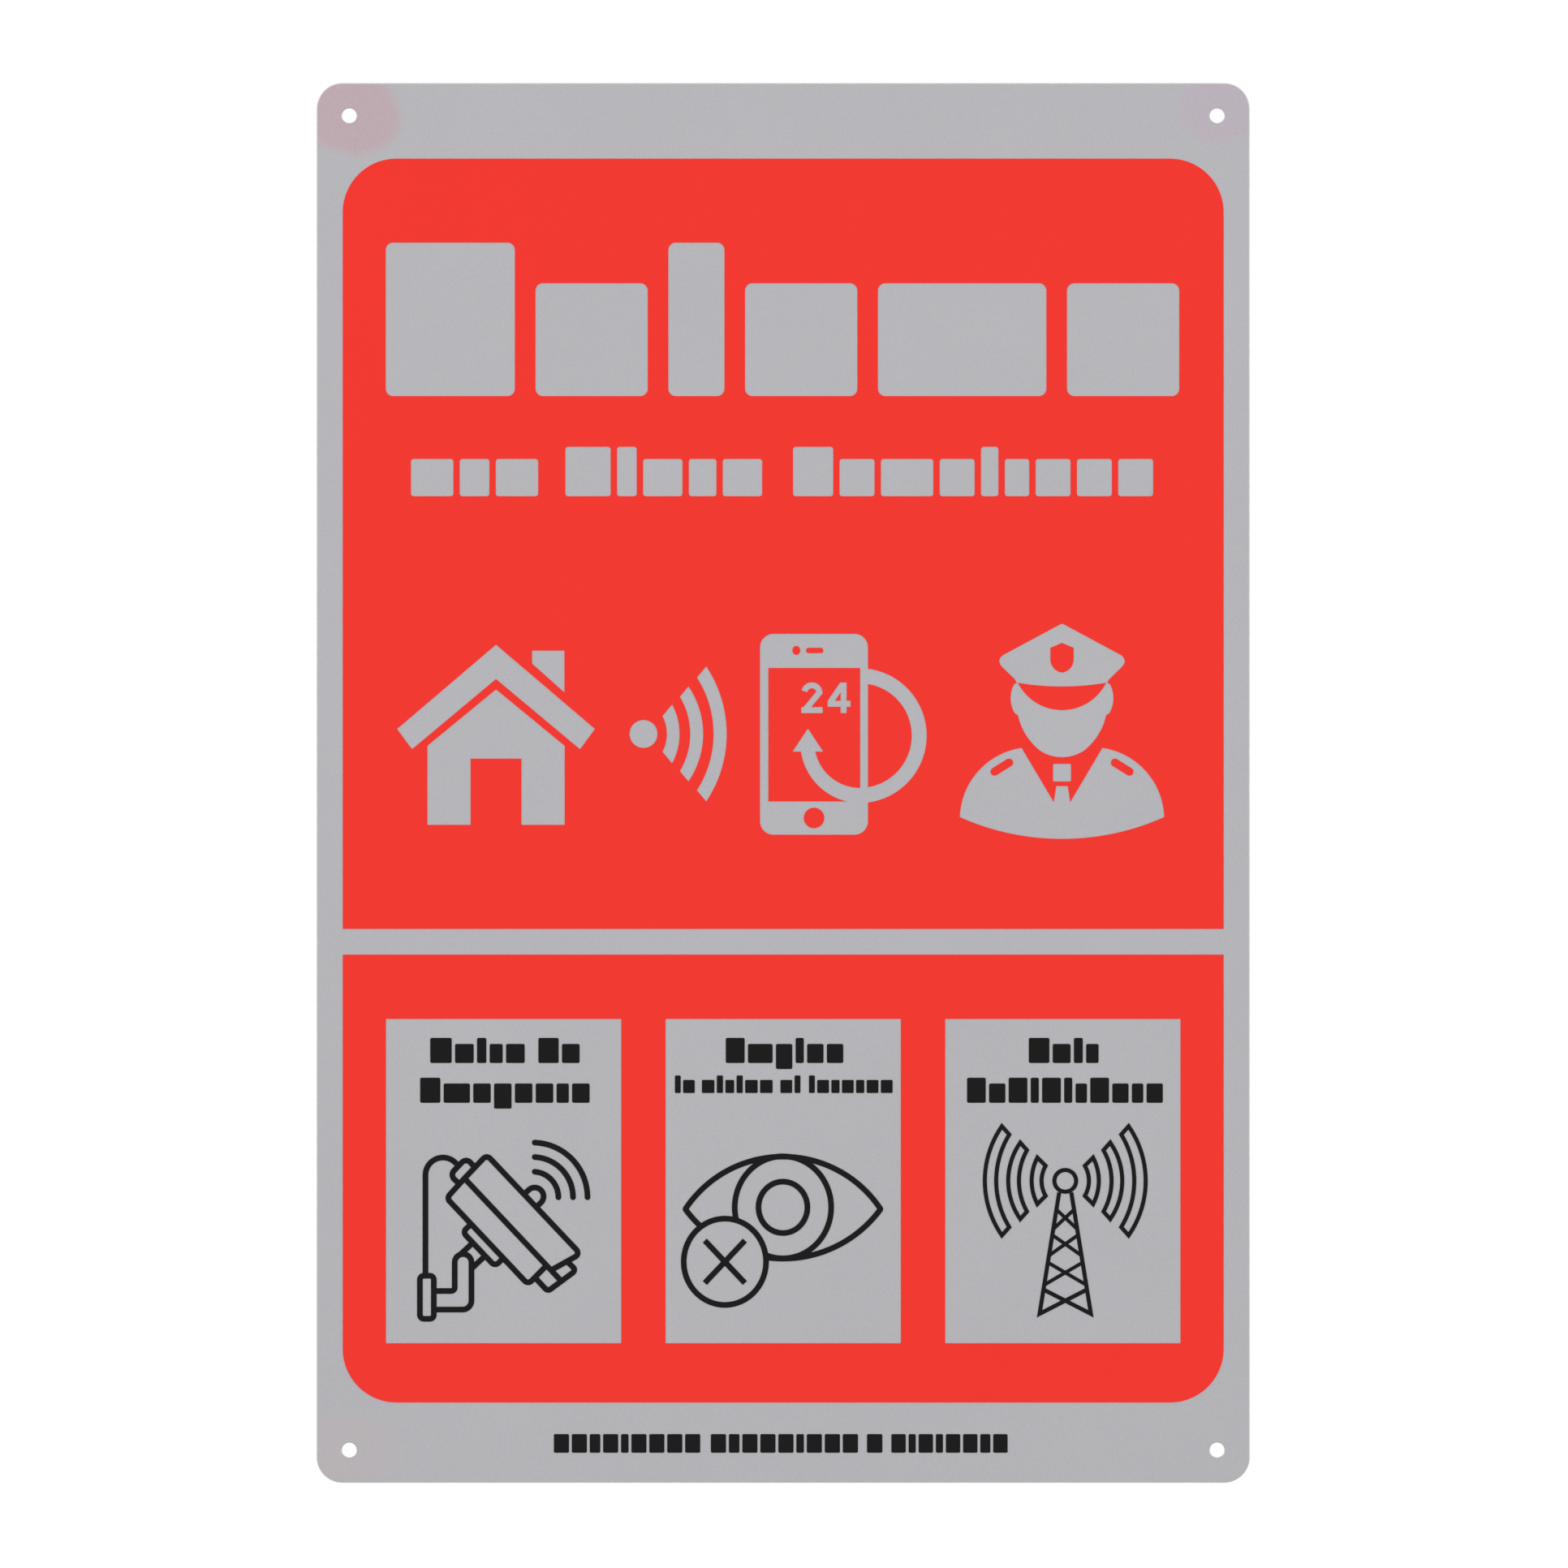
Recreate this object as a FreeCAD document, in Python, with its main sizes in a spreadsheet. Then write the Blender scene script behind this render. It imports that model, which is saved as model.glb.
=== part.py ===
"""Alarm warning sign: a flat aluminium plate with four fixing holes and two fields of red film.

The plate stands upright, as it hangs on a wall. X runs across it, Z runs up it, and the printed
face looks along -Y. The origin is the middle of the back face, which lies on the wall.

Pieces
  sign_plate       sheared sheet with round corners, deburred edges and four punched holes
  red_field_upper  cut film, rounded at its two upper corners, with a row of cut-out figures: a
                   house that sends a signal, a telephone with an arrow, and a guard in a cap. What
                   the figures enclose, such as the telephone's screen, is film of its own.
  red_field_lower  cut film, rounded at its two lower corners, with a row of windows
  camera_mark      black film in the first window: a line drawing of a camera on a wall arm
  eye_mark         black film in the second window: an eye, and a cross in a circle over its corner
  mast_mark        black film in the third window: a radio mast between bands of waves
"""

import FreeCAD
import Part
import Sketcher
import math
import os
from collections import namedtuple

# Millimetres, apart from window_count, which is a number of windows.
SIZES = {
    "plate_width": 200.0,
    "plate_height": 300.0,
    "plate_thickness": 1.0,
    "corner_radius": 5.5,
    "edge_break": 0.2,
    "hole_diameter": 3.2,
    "hole_inset": 7.0,
    "hole_rim_round": 0.15,
    "film_thickness": 0.1,
    "field_corner_radius": 11.5,
    "field_side_margin": 5.6,
    "field_top_margin": 16.2,
    "field_bottom_margin": 17.2,
    "strip_height": 5.5,
    "lower_field_height": 96.0,
    "window_count": 3,
    "window_gap": 9.5,
    "window_side_margin": 9.25,
    "window_top_margin": 13.8,
    "window_bottom_margin": 12.7,
    # The line that the row of figures is measured from, over the upper field's foot.
    "row_rise": 31.3,
    # The house, from its middle and the row's line.
    "house_inset": 32.85,
    "roof_peak": 29.63,
    "roof_under_peak": 22.27,
    "roof_tip_reach": 21.2,
    "roof_tip_height": 11.56,
    "eave_reach": 18.0,
    "eave_height": 7.22,
    "gable_peak": 20.04,
    "wall_reach": 14.72,
    "wall_top": 7.94,
    "house_drop": 8.99,
    "door_reach": 5.45,
    "door_top": 5.2,
    "chimney_left": 7.72,
    "chimney_width": 6.95,
    "chimney_top": 28.35,
    "chimney_left_foot": 25.58,
    "chimney_right_foot": 19.38,
    # The signal, from its dot, which stands beside the house.
    "signal_offset": 31.61,
    "signal_rise": 10.5,
    "dot_radius": 3.0,
    "near_wave_inner_reach": 4.06,
    "near_wave_inner_height": 3.82,
    "near_wave_inner_middle": 5.0,
    "near_wave_outer_reach": 6.12,
    "near_wave_outer_height": 6.32,
    "near_wave_outer_middle": 7.74,
    "middle_wave_inner_reach": 7.79,
    "middle_wave_inner_height": 7.98,
    "middle_wave_inner_middle": 10.0,
    "middle_wave_outer_reach": 9.64,
    "middle_wave_outer_height": 10.19,
    "middle_wave_outer_middle": 12.79,
    "far_wave_inner_reach": 11.45,
    "far_wave_inner_height": 12.08,
    "far_wave_inner_middle": 15.0,
    "far_wave_outer_reach": 13.45,
    "far_wave_outer_height": 14.49,
    "far_wave_outer_middle": 17.84,
    # The telephone, from its lower left corner.
    "phone_left_reach": 4.98,
    "phone_drop": 11.11,
    "phone_width": 23.16,
    "phone_height": 43.07,
    "phone_corner_radius": 2.9,
    "screen_left_margin": 1.81,
    "screen_right_margin": 1.69,
    "screen_foot_margin": 7.14,
    "screen_top_margin": 7.33,
    "lens_place": 7.79,
    "lens_drop": 3.56,
    "lens_radius": 0.9,
    "slot_left": 10.44,
    "slot_length": 2.58,
    "slot_width": 1.12,
    "slot_drop": 3.57,
    "button_rise": 3.6,
    "button_radius": 2.2,
    # Its arrow, which leaves the right side, turns below and comes back up through the screen.
    "arrow_start_inset": 0.88,
    "arrow_start_top": 35.67,
    "arrow_start_width": 3.24,
    "arrow_turn_inset": 1.87,
    "arrow_turn_foot": 6.8,
    "arrow_turn_width": 3.23,
    "arrow_outer_rise": 13.96,
    "arrow_inner_rise": 10.73,
    "arrow_neck_left": 8.78,
    "arrow_neck_width": 3.1,
    "arrow_neck_height": 17.81,
    "arrow_neck_outer_rise": 3.04,
    "arrow_neck_inner_rise": 2.12,
    "arrow_head_left": 6.97,
    "arrow_head_width": 6.6,
    "arrow_head_height": 4.97,
    "arrow_tip_place": 10.28,
    # The guard, from the middle of the head and the row's line.
    "guard_inset": 34.64,
    "cap_peak": 34.19,
    "cap_peak_bend": 0.8,
    "cap_side_reach": 14.44,
    "cap_side_height": 26.43,
    "cap_side_bend": 1.6,
    "cap_foot_reach": 10.05,
    "cap_foot_height": 22.15,
    "brim_reach": 9.72,
    "brim_height": 21.5,
    "brim_sag": 0.83,
    "badge_reach": 2.49,
    "badge_peak": 30.03,
    "badge_dip_reach": 1.3,
    "badge_dip_height": 29.45,
    "badge_dip_bend": 0.6,
    "badge_shoulder": 28.98,
    "badge_side_foot": 26.6,
    "badge_foot": 23.64,
    "badge_side_rise": 0.75,
    "temple_inset": 0.22,
    "temple_overlap": 0.05,
    "visor_sag": 5.95,
    "ear_reach": 10.3,
    "ear_height": 21.15,
    "ear_rise": 0.8,
    "lobe_reach": 10.15,
    "lobe_height": 14.95,
    "jaw_reach": 9.46,
    "jaw_height": 14.5,
    "jaw_rise": 0.76,
    "chin_reach": 4.8,
    "chin_height": 6.98,
    "chin_rise": 1.48,
    "collar_reach": 8.65,
    "collar_height": 7.51,
    "cuff_reach": 21.91,
    "cuff_drop": 7.32,
    "shoulder_rise": 3.62,
    "hem_sag": 4.68,
    "neckline_reach": 1.78,
    "neckline_drop": 4.1,
    "tie_reach": 1.24,
    "tie_drop": 0.68,
    "knot_width": 3.86,
    "knot_height": 3.79,
    "knot_rise": 0.31,
    "knot_bend": 0.3,
    "tab_inner_reach": 11.35,
    "tab_inner_height": 4.35,
    "tab_outer_reach": 14.45,
    "tab_outer_height": 2.42,
    "tab_width": 1.75,
    # The drawings in the windows, from the window's middle and foot.
    "line_width": 1.23,
    # The camera's housing, from its lower rear corner and along its tilt.
    "camera_offset": 12.04,
    "camera_rise": 31.13,
    "camera_tilt": 46.68,
    "housing_width": 12.45,
    "housing_foot_length": 25.13,
    "housing_knee": 25.75,
    "housing_top_length": 28.47,
    "housing_bend": 1.1,
    "housing_split": 5.42,
    "snout_foot": 2.0,
    "snout_foot_reach": 3.6,
    "snout_top": 9.3,
    "snout_top_reach": 1.9,
    "snout_bend": 0.7,
    "snout_split": 5.8,
    "gland_foot": 3.72,
    "gland_height": 5.1,
    "gland_reach": 3.42,
    "gland_bend": 1.4,
    "lamp_place": 10.93,
    "lamp_width": 3.42,
    "lamp_rise": 2.5,
    "lamp_lift": 0.88,
    "shoe_start": 7.35,
    "shoe_length": 10.24,
    "shoe_depth": 2.43,
    "shoe_bend": 1.0,
    "neck_start": 10.56,
    "neck_width": 4.06,
    "neck_length": 4.0,
    # Its waves, from their own centre.
    "waves_offset": 6.26,
    "waves_rise": 31.29,
    "waves_lead": 0.42,
    "first_wave_radius": 5.49,
    "second_wave_radius": 8.63,
    "third_wave_radius": 11.73,
    # Its wall plate, arm and cable.
    "wall_plate_offset": 18.02,
    "wall_plate_foot": 5.41,
    "wall_plate_width": 2.96,
    "wall_plate_height": 9.2,
    "wall_plate_bend": 0.85,
    "arm_foot": 7.41,
    "arm_inner_foot": 11.37,
    "arm_inner_reach": 4.59,
    "arm_width": 3.54,
    "arm_top": 19.24,
    "arm_foot_bend": 1.9,
    "arm_inner_bend": 0.75,
    "arm_top_bend": 1.7,
    "cable_bend_start": 36.19,
    "cable_end_reach": 6.65,
    "cable_end_height": 38.62,
    "cable_rise": 2.48,
    # The eye, from the middle between its corners.
    "eye_offset": 0.05,
    "eye_rise": 28.87,
    "eye_side_margin": 4.27,
    "upper_lid_rise": 11.2,
    "lower_lid_rise": 10.62,
    "iris_lift": 0.38,
    "iris_width": 21.9,
    "iris_height": 23.1,
    "pupil_width": 11.72,
    "pupil_height": 12.25,
    "cross_inset": 8.5,
    "cross_drop": 11.29,
    "cross_ring_width": 18.88,
    "cross_ring_height": 19.73,
    "cross_length": 12.52,
    "cross_angle": 46.6,
    # The mast, from the middle of its ball.
    "mast_offset": 0.57,
    "mast_rise": 34.85,
    "mast_line_width": 0.9,
    "brace_width": 0.78,
    "ball_radius": 2.78,
    "leg_top_reach": 1.3,
    "leg_top_drop": 2.5,
    "leg_foot_reach": 5.5,
    "leg_foot_drop": 28.5,
    "top_brace_drop": 6.15,
    "top_brace_height": 4.2,
    "middle_brace_drop": 11.6,
    "middle_brace_height": 4.4,
    "low_brace_drop": 17.5,
    "low_brace_height": 4.8,
    "foot_brace_drop": 23.3,
    "near_band_inner_reach": 4.2,
    "near_band_inner_height": 3.22,
    "near_band_inner_middle": 5.08,
    "near_band_outer_reach": 5.97,
    "near_band_outer_height": 4.98,
    "near_band_outer_middle": 7.2,
    "middle_band_inner_reach": 8.2,
    "middle_band_inner_height": 6.58,
    "middle_band_inner_middle": 9.93,
    "middle_band_outer_reach": 9.64,
    "middle_band_outer_height": 8.2,
    "middle_band_outer_middle": 12.22,
    "far_band_inner_reach": 12.0,
    "far_band_inner_height": 9.92,
    "far_band_inner_middle": 14.8,
    "far_band_outer_reach": 13.58,
    "far_band_outer_height": 11.7,
    "far_band_outer_middle": 17.24,
}

# Places and lengths that follow from the driving sizes, as expressions on the sheet.
PLATE_LEFT = "(-sizes.plate_width / 2)"
PLATE_FOOT = "(-sizes.plate_height / 2)"
HOLE_REACH_X = "(sizes.plate_width / 2 - sizes.hole_inset)"
HOLE_REACH_Z = "(sizes.plate_height / 2 - sizes.hole_inset)"
FIELD_LEFT = f"({PLATE_LEFT} + sizes.field_side_margin)"
FIELD_WIDTH = "(sizes.plate_width - 2 * sizes.field_side_margin)"
LOWER_FOOT = f"({PLATE_FOOT} + sizes.field_bottom_margin)"
UPPER_FOOT = f"({LOWER_FOOT} + sizes.lower_field_height + sizes.strip_height)"
UPPER_HEIGHT = f"(sizes.plate_height / 2 - sizes.field_top_margin - {UPPER_FOOT})"
WINDOW_LEFT = f"({FIELD_LEFT} + sizes.window_side_margin)"
WINDOW_FOOT = f"({LOWER_FOOT} + sizes.window_bottom_margin)"
WINDOW_WIDTH = (
    f"(({FIELD_WIDTH} - 2 * sizes.window_side_margin"
    " - (sizes.window_count - 1) * sizes.window_gap) / sizes.window_count)"
)
WINDOW_HEIGHT = (
    "(sizes.lower_field_height - sizes.window_top_margin - sizes.window_bottom_margin)"
)
WINDOW_PITCH = f"({WINDOW_WIDTH} + sizes.window_gap)"
ROW_LINE = f"({UPPER_FOOT} + sizes.row_rise)"
HOUSE_PLACE = f"({FIELD_LEFT} + sizes.house_inset)"
SIGNAL_PLACE = f"({HOUSE_PLACE} + sizes.signal_offset)"
GUARD_PLACE = f"({FIELD_LEFT} + {FIELD_WIDTH} - sizes.guard_inset)"

FIRST_WINDOW = f"({WINDOW_LEFT} + {WINDOW_WIDTH} / 2)"
SECOND_WINDOW = f"({FIRST_WINDOW} + {WINDOW_PITCH})"
THIRD_WINDOW = f"({SECOND_WINDOW} + {WINDOW_PITCH})"
EYE_REACH = f"({WINDOW_WIDTH} / 2 - sizes.eye_side_margin)"

# The house's waves and the mast's, from the source outwards.
WAVES = ("near_wave", "middle_wave", "far_wave")
BANDS = ("near_band", "middle_band", "far_band")
# The camera's waves, from the lamp outwards.
LAMP_WAVES = ("first_wave", "second_wave", "third_wave")
# The mast's crossed braces, from the top down.
BRACES = ("top_brace", "middle_brace", "low_brace")

# Two lengths closer than this are the same when edges are picked.
SAME_LENGTH = 1e-4

# A corner of an outline, in expressions. An arc leads to it where it has a rise, which is how far
# the arc's middle stands to the left of the straight way. A bend is the radius that rounds it.
Corner = namedtuple("Corner", "x z rise bend", defaults=("", ""))

document = FreeCAD.newDocument("alarm_warning_sign")


def make_sheet():
    """Write the driving sizes into a spreadsheet, one aliased cell each."""
    sheet = document.addObject("Spreadsheet::Sheet", "sizes")
    for row, (alias, value) in enumerate(SIZES.items(), start=1):
        sheet.set(f"A{row}", alias)
        sheet.set(f"B{row}", str(value))
        sheet.setAlias(f"B{row}", alias)
    document.recompute()


def value_of(expression):
    """The number that an expression on the sheet gives."""
    return float(document.getObject("sizes").evalExpression(expression))


def same(first, second):
    """True where two lengths are equal within the picking tolerance."""
    return abs(first - second) < SAME_LENGTH


def new_body(label):
    """Start a body whose label names its piece."""
    body = document.addObject("PartDesign::Body", label)
    body.Label = label
    return body


def origin_feature(body, role):
    """The plane or axis of the body's own origin with that role, such as XZ_Plane."""
    return next(item for item in body.Origin.OriginFeatures if item.Role == role)


def new_sketch(body, name, place_x="0", place_z="0"):
    """Start a sketch on the body's upright plane: its X is X, its Y is Z, its normal is -Y.

    Its own origin stands at the place that the two expressions give.
    """
    sketch = body.newObject("Sketcher::SketchObject", name)
    sketch.AttachmentSupport = [(origin_feature(body, "XZ_Plane"), "")]
    sketch.MapMode = "FlatFace"
    sketch.setExpression("AttachmentOffset.Base.x", place_x)
    sketch.setExpression("AttachmentOffset.Base.y", place_z)
    return sketch


def bind(sketch, name, kind, points, expression):
    """Add a dimension to a sketch under its own name, and tie it to the sheet."""
    constraint = Sketcher.Constraint(kind, *points, value_of(expression))
    index = sketch.addConstraint(constraint)
    sketch.renameConstraint(index, name)
    sketch.setExpression(f"Constraints.{name}", expression)


def draw_rectangle(sketch, left, foot, width, height):
    """Draw a rectangle from the expressions of its left edge, foot, width and height."""
    x_low, z_low = value_of(left), value_of(foot)
    x_high, z_high = x_low + value_of(width), z_low + value_of(height)
    corners = [
        FreeCAD.Vector(x_low, z_low, 0),
        FreeCAD.Vector(x_high, z_low, 0),
        FreeCAD.Vector(x_high, z_high, 0),
        FreeCAD.Vector(x_low, z_high, 0),
    ]
    first = sketch.GeometryCount
    for start, end in zip(corners, corners[1:] + corners[:1]):
        sketch.addGeometry(Part.LineSegment(start, end))
    for side in range(4):
        line, after = first + side, first + (side + 1) % 4
        sketch.addConstraint(Sketcher.Constraint("Coincident", line, 2, after, 1))
        sketch.addConstraint(Sketcher.Constraint(("Horizontal", "Vertical")[side % 2], line))
    bind(sketch, f"width_{first}", "DistanceX", (first, 1, first, 2), width)
    bind(sketch, f"height_{first}", "DistanceY", (first + 1, 1, first + 1, 2), height)
    bind(sketch, f"left_{first}", "DistanceX", (-1, 1, first, 1), left)
    bind(sketch, f"foot_{first}", "DistanceY", (-1, 1, first, 1), foot)
    return first


def round_corner(sketch, line, bend):
    """Round the corner at the end of a sketch's line by an expression's radius."""
    arc = sketch.GeometryCount
    sketch.fillet(line, 2, value_of(bend), 1, True)
    bind(sketch, f"bend_{line}", "Radius", (arc,), bend)


def draw_circle(sketch, place_x, place_z, radius):
    """Draw a circle from the expressions of its centre and its radius."""
    centre = FreeCAD.Vector(value_of(place_x), value_of(place_z), 0)
    circle = Part.Circle(centre, FreeCAD.Vector(0, 0, 1), value_of(radius))
    index = sketch.addGeometry(circle)
    bind(sketch, f"centre_x_{index}", "DistanceX", (-1, 1, index, 3), place_x)
    bind(sketch, f"centre_z_{index}", "DistanceY", (-1, 1, index, 3), place_z)
    bind(sketch, f"radius_{index}", "Radius", (index,), radius)


def arc_between(start, end, rise):
    """The arc from a point to another whose middle stands off the straight way to its left."""
    way = end - start
    radius = way.Length**2 / (8 * abs(rise)) + abs(rise) / 2
    left = FreeCAD.Vector(-way.y, way.x, 0).normalize()
    centre = (start + end) / 2 + left * (rise - math.copysign(radius, rise))
    arms = [(end - centre), (start - centre)] if rise > 0 else [(start - centre), (end - centre)]
    first, last = (math.atan2(arm.y, arm.x) for arm in arms)
    if last < first:
        last += 2 * math.pi
    return Part.ArcOfCircle(Part.Circle(centre, FreeCAD.Vector(0, 0, 1), radius), first, last)


def arc_radius(before, corner):
    """The expression for the radius of the arc that leads from one corner to the next."""
    way = f"((({corner.x}) - ({before.x}))^2 + (({corner.z}) - ({before.z}))^2)"
    return f"{way} / (8 * abs({corner.rise})) + abs({corner.rise}) / 2"


def draw_line(sketch, corners, closed=False):
    """Draw an outline, or an open line, through its corners, and tie each of them to the sheet."""
    places = [FreeCAD.Vector(value_of(one.x), value_of(one.z), 0) for one in corners]
    edges = []
    for number, corner in enumerate(corners):
        if number == 0 and not closed:
            continue
        start, end = places[number - 1], places[number]
        rise = value_of(corner.rise) if corner.rise else 0.0
        curve = arc_between(start, end, rise) if rise else Part.LineSegment(start, end)
        # An arc runs counter-clockwise, so one that rises to the left starts at its far end.
        ends = (2, 1) if rise > 0 else (1, 2)
        edges.append((sketch.addGeometry(curve), *ends, number))
    for place, (edge, start, end, number) in enumerate(edges):
        corner = corners[number]
        bind_corner(sketch, edge, end, corner)
        if closed or place + 1 < len(edges):
            after, after_start, _, _ = edges[(place + 1) % len(edges)]
            sketch.addConstraint(Sketcher.Constraint("Coincident", edge, end, after, after_start))
        if corner.rise:
            radius = arc_radius(corners[number - 1], corner)
            bind(sketch, f"radius_{edge}", "Radius", (edge,), radius)
    if not closed:
        bind_corner(sketch, edges[0][0], edges[0][1], corners[0])
    for edge, _, _, number in edges:
        if corners[number].bend:
            round_corner(sketch, edge, corners[number].bend)


def bind_corner(sketch, edge, end, corner):
    """Tie one end of a sketch's edge to a corner."""
    bind(sketch, f"x_{edge}_{end}", "DistanceX", (-1, 1, edge, end), corner.x)
    bind(sketch, f"z_{edge}_{end}", "DistanceY", (-1, 1, edge, end), corner.z)


def draw_loop(sketch, corners):
    """Draw a closed outline through its corners, and tie each of them to the sheet."""
    draw_line(sketch, corners, closed=True)


def draw_oval(sketch, place_x, place_z, width, height):
    """Draw an upright oval from the expressions of its centre, its width and its height."""
    centre = FreeCAD.Vector(value_of(place_x), value_of(place_z), 0)
    top = centre + FreeCAD.Vector(0, value_of(height) / 2, 0)
    side = centre + FreeCAD.Vector(-value_of(width) / 2, 0, 0)
    oval = sketch.addGeometry(Part.Ellipse(top, side, centre))
    sketch.exposeInternalGeometry(oval)
    tall, wide = oval + 1, oval + 2
    sketch.addConstraint(Sketcher.Constraint("Vertical", tall))
    bind(sketch, f"height_{oval}", "Distance", (tall, 1, tall, 2), height)
    bind(sketch, f"width_{oval}", "Distance", (wide, 1, wide, 2), width)
    bind(sketch, f"centre_x_{oval}", "DistanceX", (-1, 1, oval, 3), place_x)
    bind(sketch, f"centre_z_{oval}", "DistanceY", (-1, 1, oval, 3), place_z)


def draw_slot(sketch, start, end, width):
    """Draw a round-ended slot from the centres of its ends, each (x, z), and its width."""
    centres = [FreeCAD.Vector(value_of(x), value_of(z), 0) for x, z in (start, end)]
    reach = value_of(width) / 2
    way = centres[1] - centres[0]
    aside = FreeCAD.Vector(-way.y, way.x, 0).normalize() * reach
    turn = math.atan2(aside.y, aside.x)
    up = FreeCAD.Vector(0, 0, 1)
    first = sketch.addGeometry(
        Part.ArcOfCircle(Part.Circle(centres[0], up, reach), turn, turn + math.pi)
    )
    sketch.addGeometry(Part.LineSegment(centres[0] - aside, centres[1] - aside))
    sketch.addGeometry(
        Part.ArcOfCircle(Part.Circle(centres[1], up, reach), turn - math.pi, turn)
    )
    sketch.addGeometry(Part.LineSegment(centres[1] + aside, centres[0] + aside))
    for number in range(4):
        edge, after = first + number, first + (number + 1) % 4
        sketch.addConstraint(Sketcher.Constraint("Tangent", edge, 2, after, 1))
    sketch.addConstraint(Sketcher.Constraint("Equal", first, first + 2))
    for arc, (place_x, place_z) in ((first, start), (first + 2, end)):
        bind(sketch, f"centre_x_{arc}", "DistanceX", (-1, 1, arc, 3), place_x)
        bind(sketch, f"centre_z_{arc}", "DistanceY", (-1, 1, arc, 3), place_z)
    bind(sketch, f"radius_{first}", "Radius", (first,), f"{width} / 2")


def both_sides(half, last_rise=""):
    """Complete the right half of a symmetric outline.

    The half runs clockwise. Its first corner's rise is that of the edge that crosses the middle
    there, and last_rise is that of the edge that crosses it at the other end.
    """
    onward = [corner.rise for corner in half[1:]] + [last_rise]
    left = [
        corner._replace(x=f"-({corner.x})", rise=rise)
        for corner, rise in zip(reversed(half), reversed(onward))
        if corner.x != "0"
    ]
    return half + left


def pad(body, sketch, name, thickness):
    """Raise a sketch towards the front by an expression's length."""
    feature = body.newObject("PartDesign::Pad", name)
    feature.Profile = sketch
    feature.setExpression("Length", thickness)
    document.recompute()
    return feature


def cut_through(body, sketch, name):
    """Cut a sketch's outlines right through a film, and stop if that cuts nothing."""
    volume = body.Shape.Volume
    feature = body.newObject("PartDesign::Pocket", name)
    feature.Profile = sketch
    feature.Type = "ThroughAll"
    feature.Reversed = True
    document.recompute()
    if not feature.Shape.Volume < volume:
        raise RuntimeError(f"{name} cuts nothing")
    return feature


def fillet(body, base, name, edges, radius):
    """Round the picked edges of a feature by an expression's radius."""
    feature = body.newObject("PartDesign::Fillet", name)
    feature.Base = (base, edges)
    feature.setExpression("Radius", radius)
    document.recompute()
    return feature


def chamfer(body, base, name, edges, size):
    """Break the picked edges of a feature at 45 degrees by an expression's width."""
    feature = body.newObject("PartDesign::Chamfer", name)
    feature.Base = (base, edges)
    feature.setExpression("Size", size)
    document.recompute()
    return feature


def upright_corners(shape, rows):
    """Names of the edges along the plate's thickness at the foot (-1) or the top (1) of a shape."""
    box = shape.BoundBox
    heights = {-1: box.ZMin, 1: box.ZMax}
    picked = []
    for number, edge in enumerate(shape.Edges, start=1):
        along = same(edge.BoundBox.YLength, box.YLength) and same(edge.BoundBox.ZLength, 0.0)
        if along and any(same(edge.BoundBox.ZMin, heights[row]) for row in rows):
            picked.append(f"Edge{number}")
    return picked


def loop_edges(shape, y_place, outer):
    """Names of the edges of a flat face at a depth: its outer loop, or the loops inside it."""
    flat = [
        face
        for face in shape.Faces
        if same(face.BoundBox.YLength, 0.0) and same(face.BoundBox.YMin, y_place)
    ]
    face = max(flat, key=lambda one: one.Area)
    wires = [wire for wire in face.Wires if wire.isSame(face.OuterWire) == outer]
    wanted = [edge for wire in wires for edge in wire.Edges]
    return [
        f"Edge{number}"
        for number, edge in enumerate(shape.Edges, start=1)
        if any(edge.isSame(one) for one in wanted)
    ]


def make_plate():
    """The sheet: sheared outline, round corners, four punched holes, deburred edges."""
    body = new_body("sign_plate")
    outline = new_sketch(body, "plate_outline")
    draw_rectangle(outline, PLATE_LEFT, PLATE_FOOT, "sizes.plate_width", "sizes.plate_height")
    blank = pad(body, outline, "plate_blank", "sizes.plate_thickness")
    corners = upright_corners(blank.Shape, (-1, 1))
    rounded = fillet(body, blank, "plate_corners", corners, "sizes.corner_radius")

    centres = new_sketch(body, "hole_centres")
    for side, row in ((-1, -1), (1, -1), (1, 1), (-1, 1)):
        place_x, place_z = f"{side} * {HOLE_REACH_X}", f"{row} * {HOLE_REACH_Z}"
        draw_circle(centres, place_x, place_z, "sizes.hole_diameter / 2")
    document.recompute()
    holes = body.newObject("PartDesign::Hole", "fixing_holes")
    holes.Profile = centres
    document.recompute()
    holes.DepthType = "ThroughAll"
    holes.DrillPoint = "Flat"
    holes.Reversed = True
    holes.setExpression("Diameter", "sizes.hole_diameter")
    document.recompute()
    if not holes.Shape.Volume < rounded.Shape.Volume:
        raise RuntimeError("the fixing holes cut nothing")

    front = -value_of("sizes.plate_thickness")
    rims = loop_edges(holes.Shape, front, outer=False)
    punched = chamfer(body, holes, "hole_rims", rims, "sizes.hole_rim_round")
    loops = loop_edges(punched.Shape, front, outer=True)
    loops += loop_edges(punched.Shape, 0.0, outer=True)
    chamfer(body, punched, "deburred_edges", loops, "sizes.edge_break")
    return body


def make_field(label, foot, height, rounded_row):
    """A field of film on the front of the plate, rounded along its foot (-1) or its top (1)."""
    body = new_body(label)
    body.setExpression("Placement.Base.y", "-sizes.plate_thickness")
    outline = new_sketch(body, f"{label}_outline")
    draw_rectangle(outline, FIELD_LEFT, foot, FIELD_WIDTH, height)
    sheet = pad(body, outline, f"{label}_sheet", "sizes.film_thickness")
    corners = upright_corners(sheet.Shape, (rounded_row,))
    fillet(body, sheet, f"{label}_corners", corners, "sizes.field_corner_radius")
    return body


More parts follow.
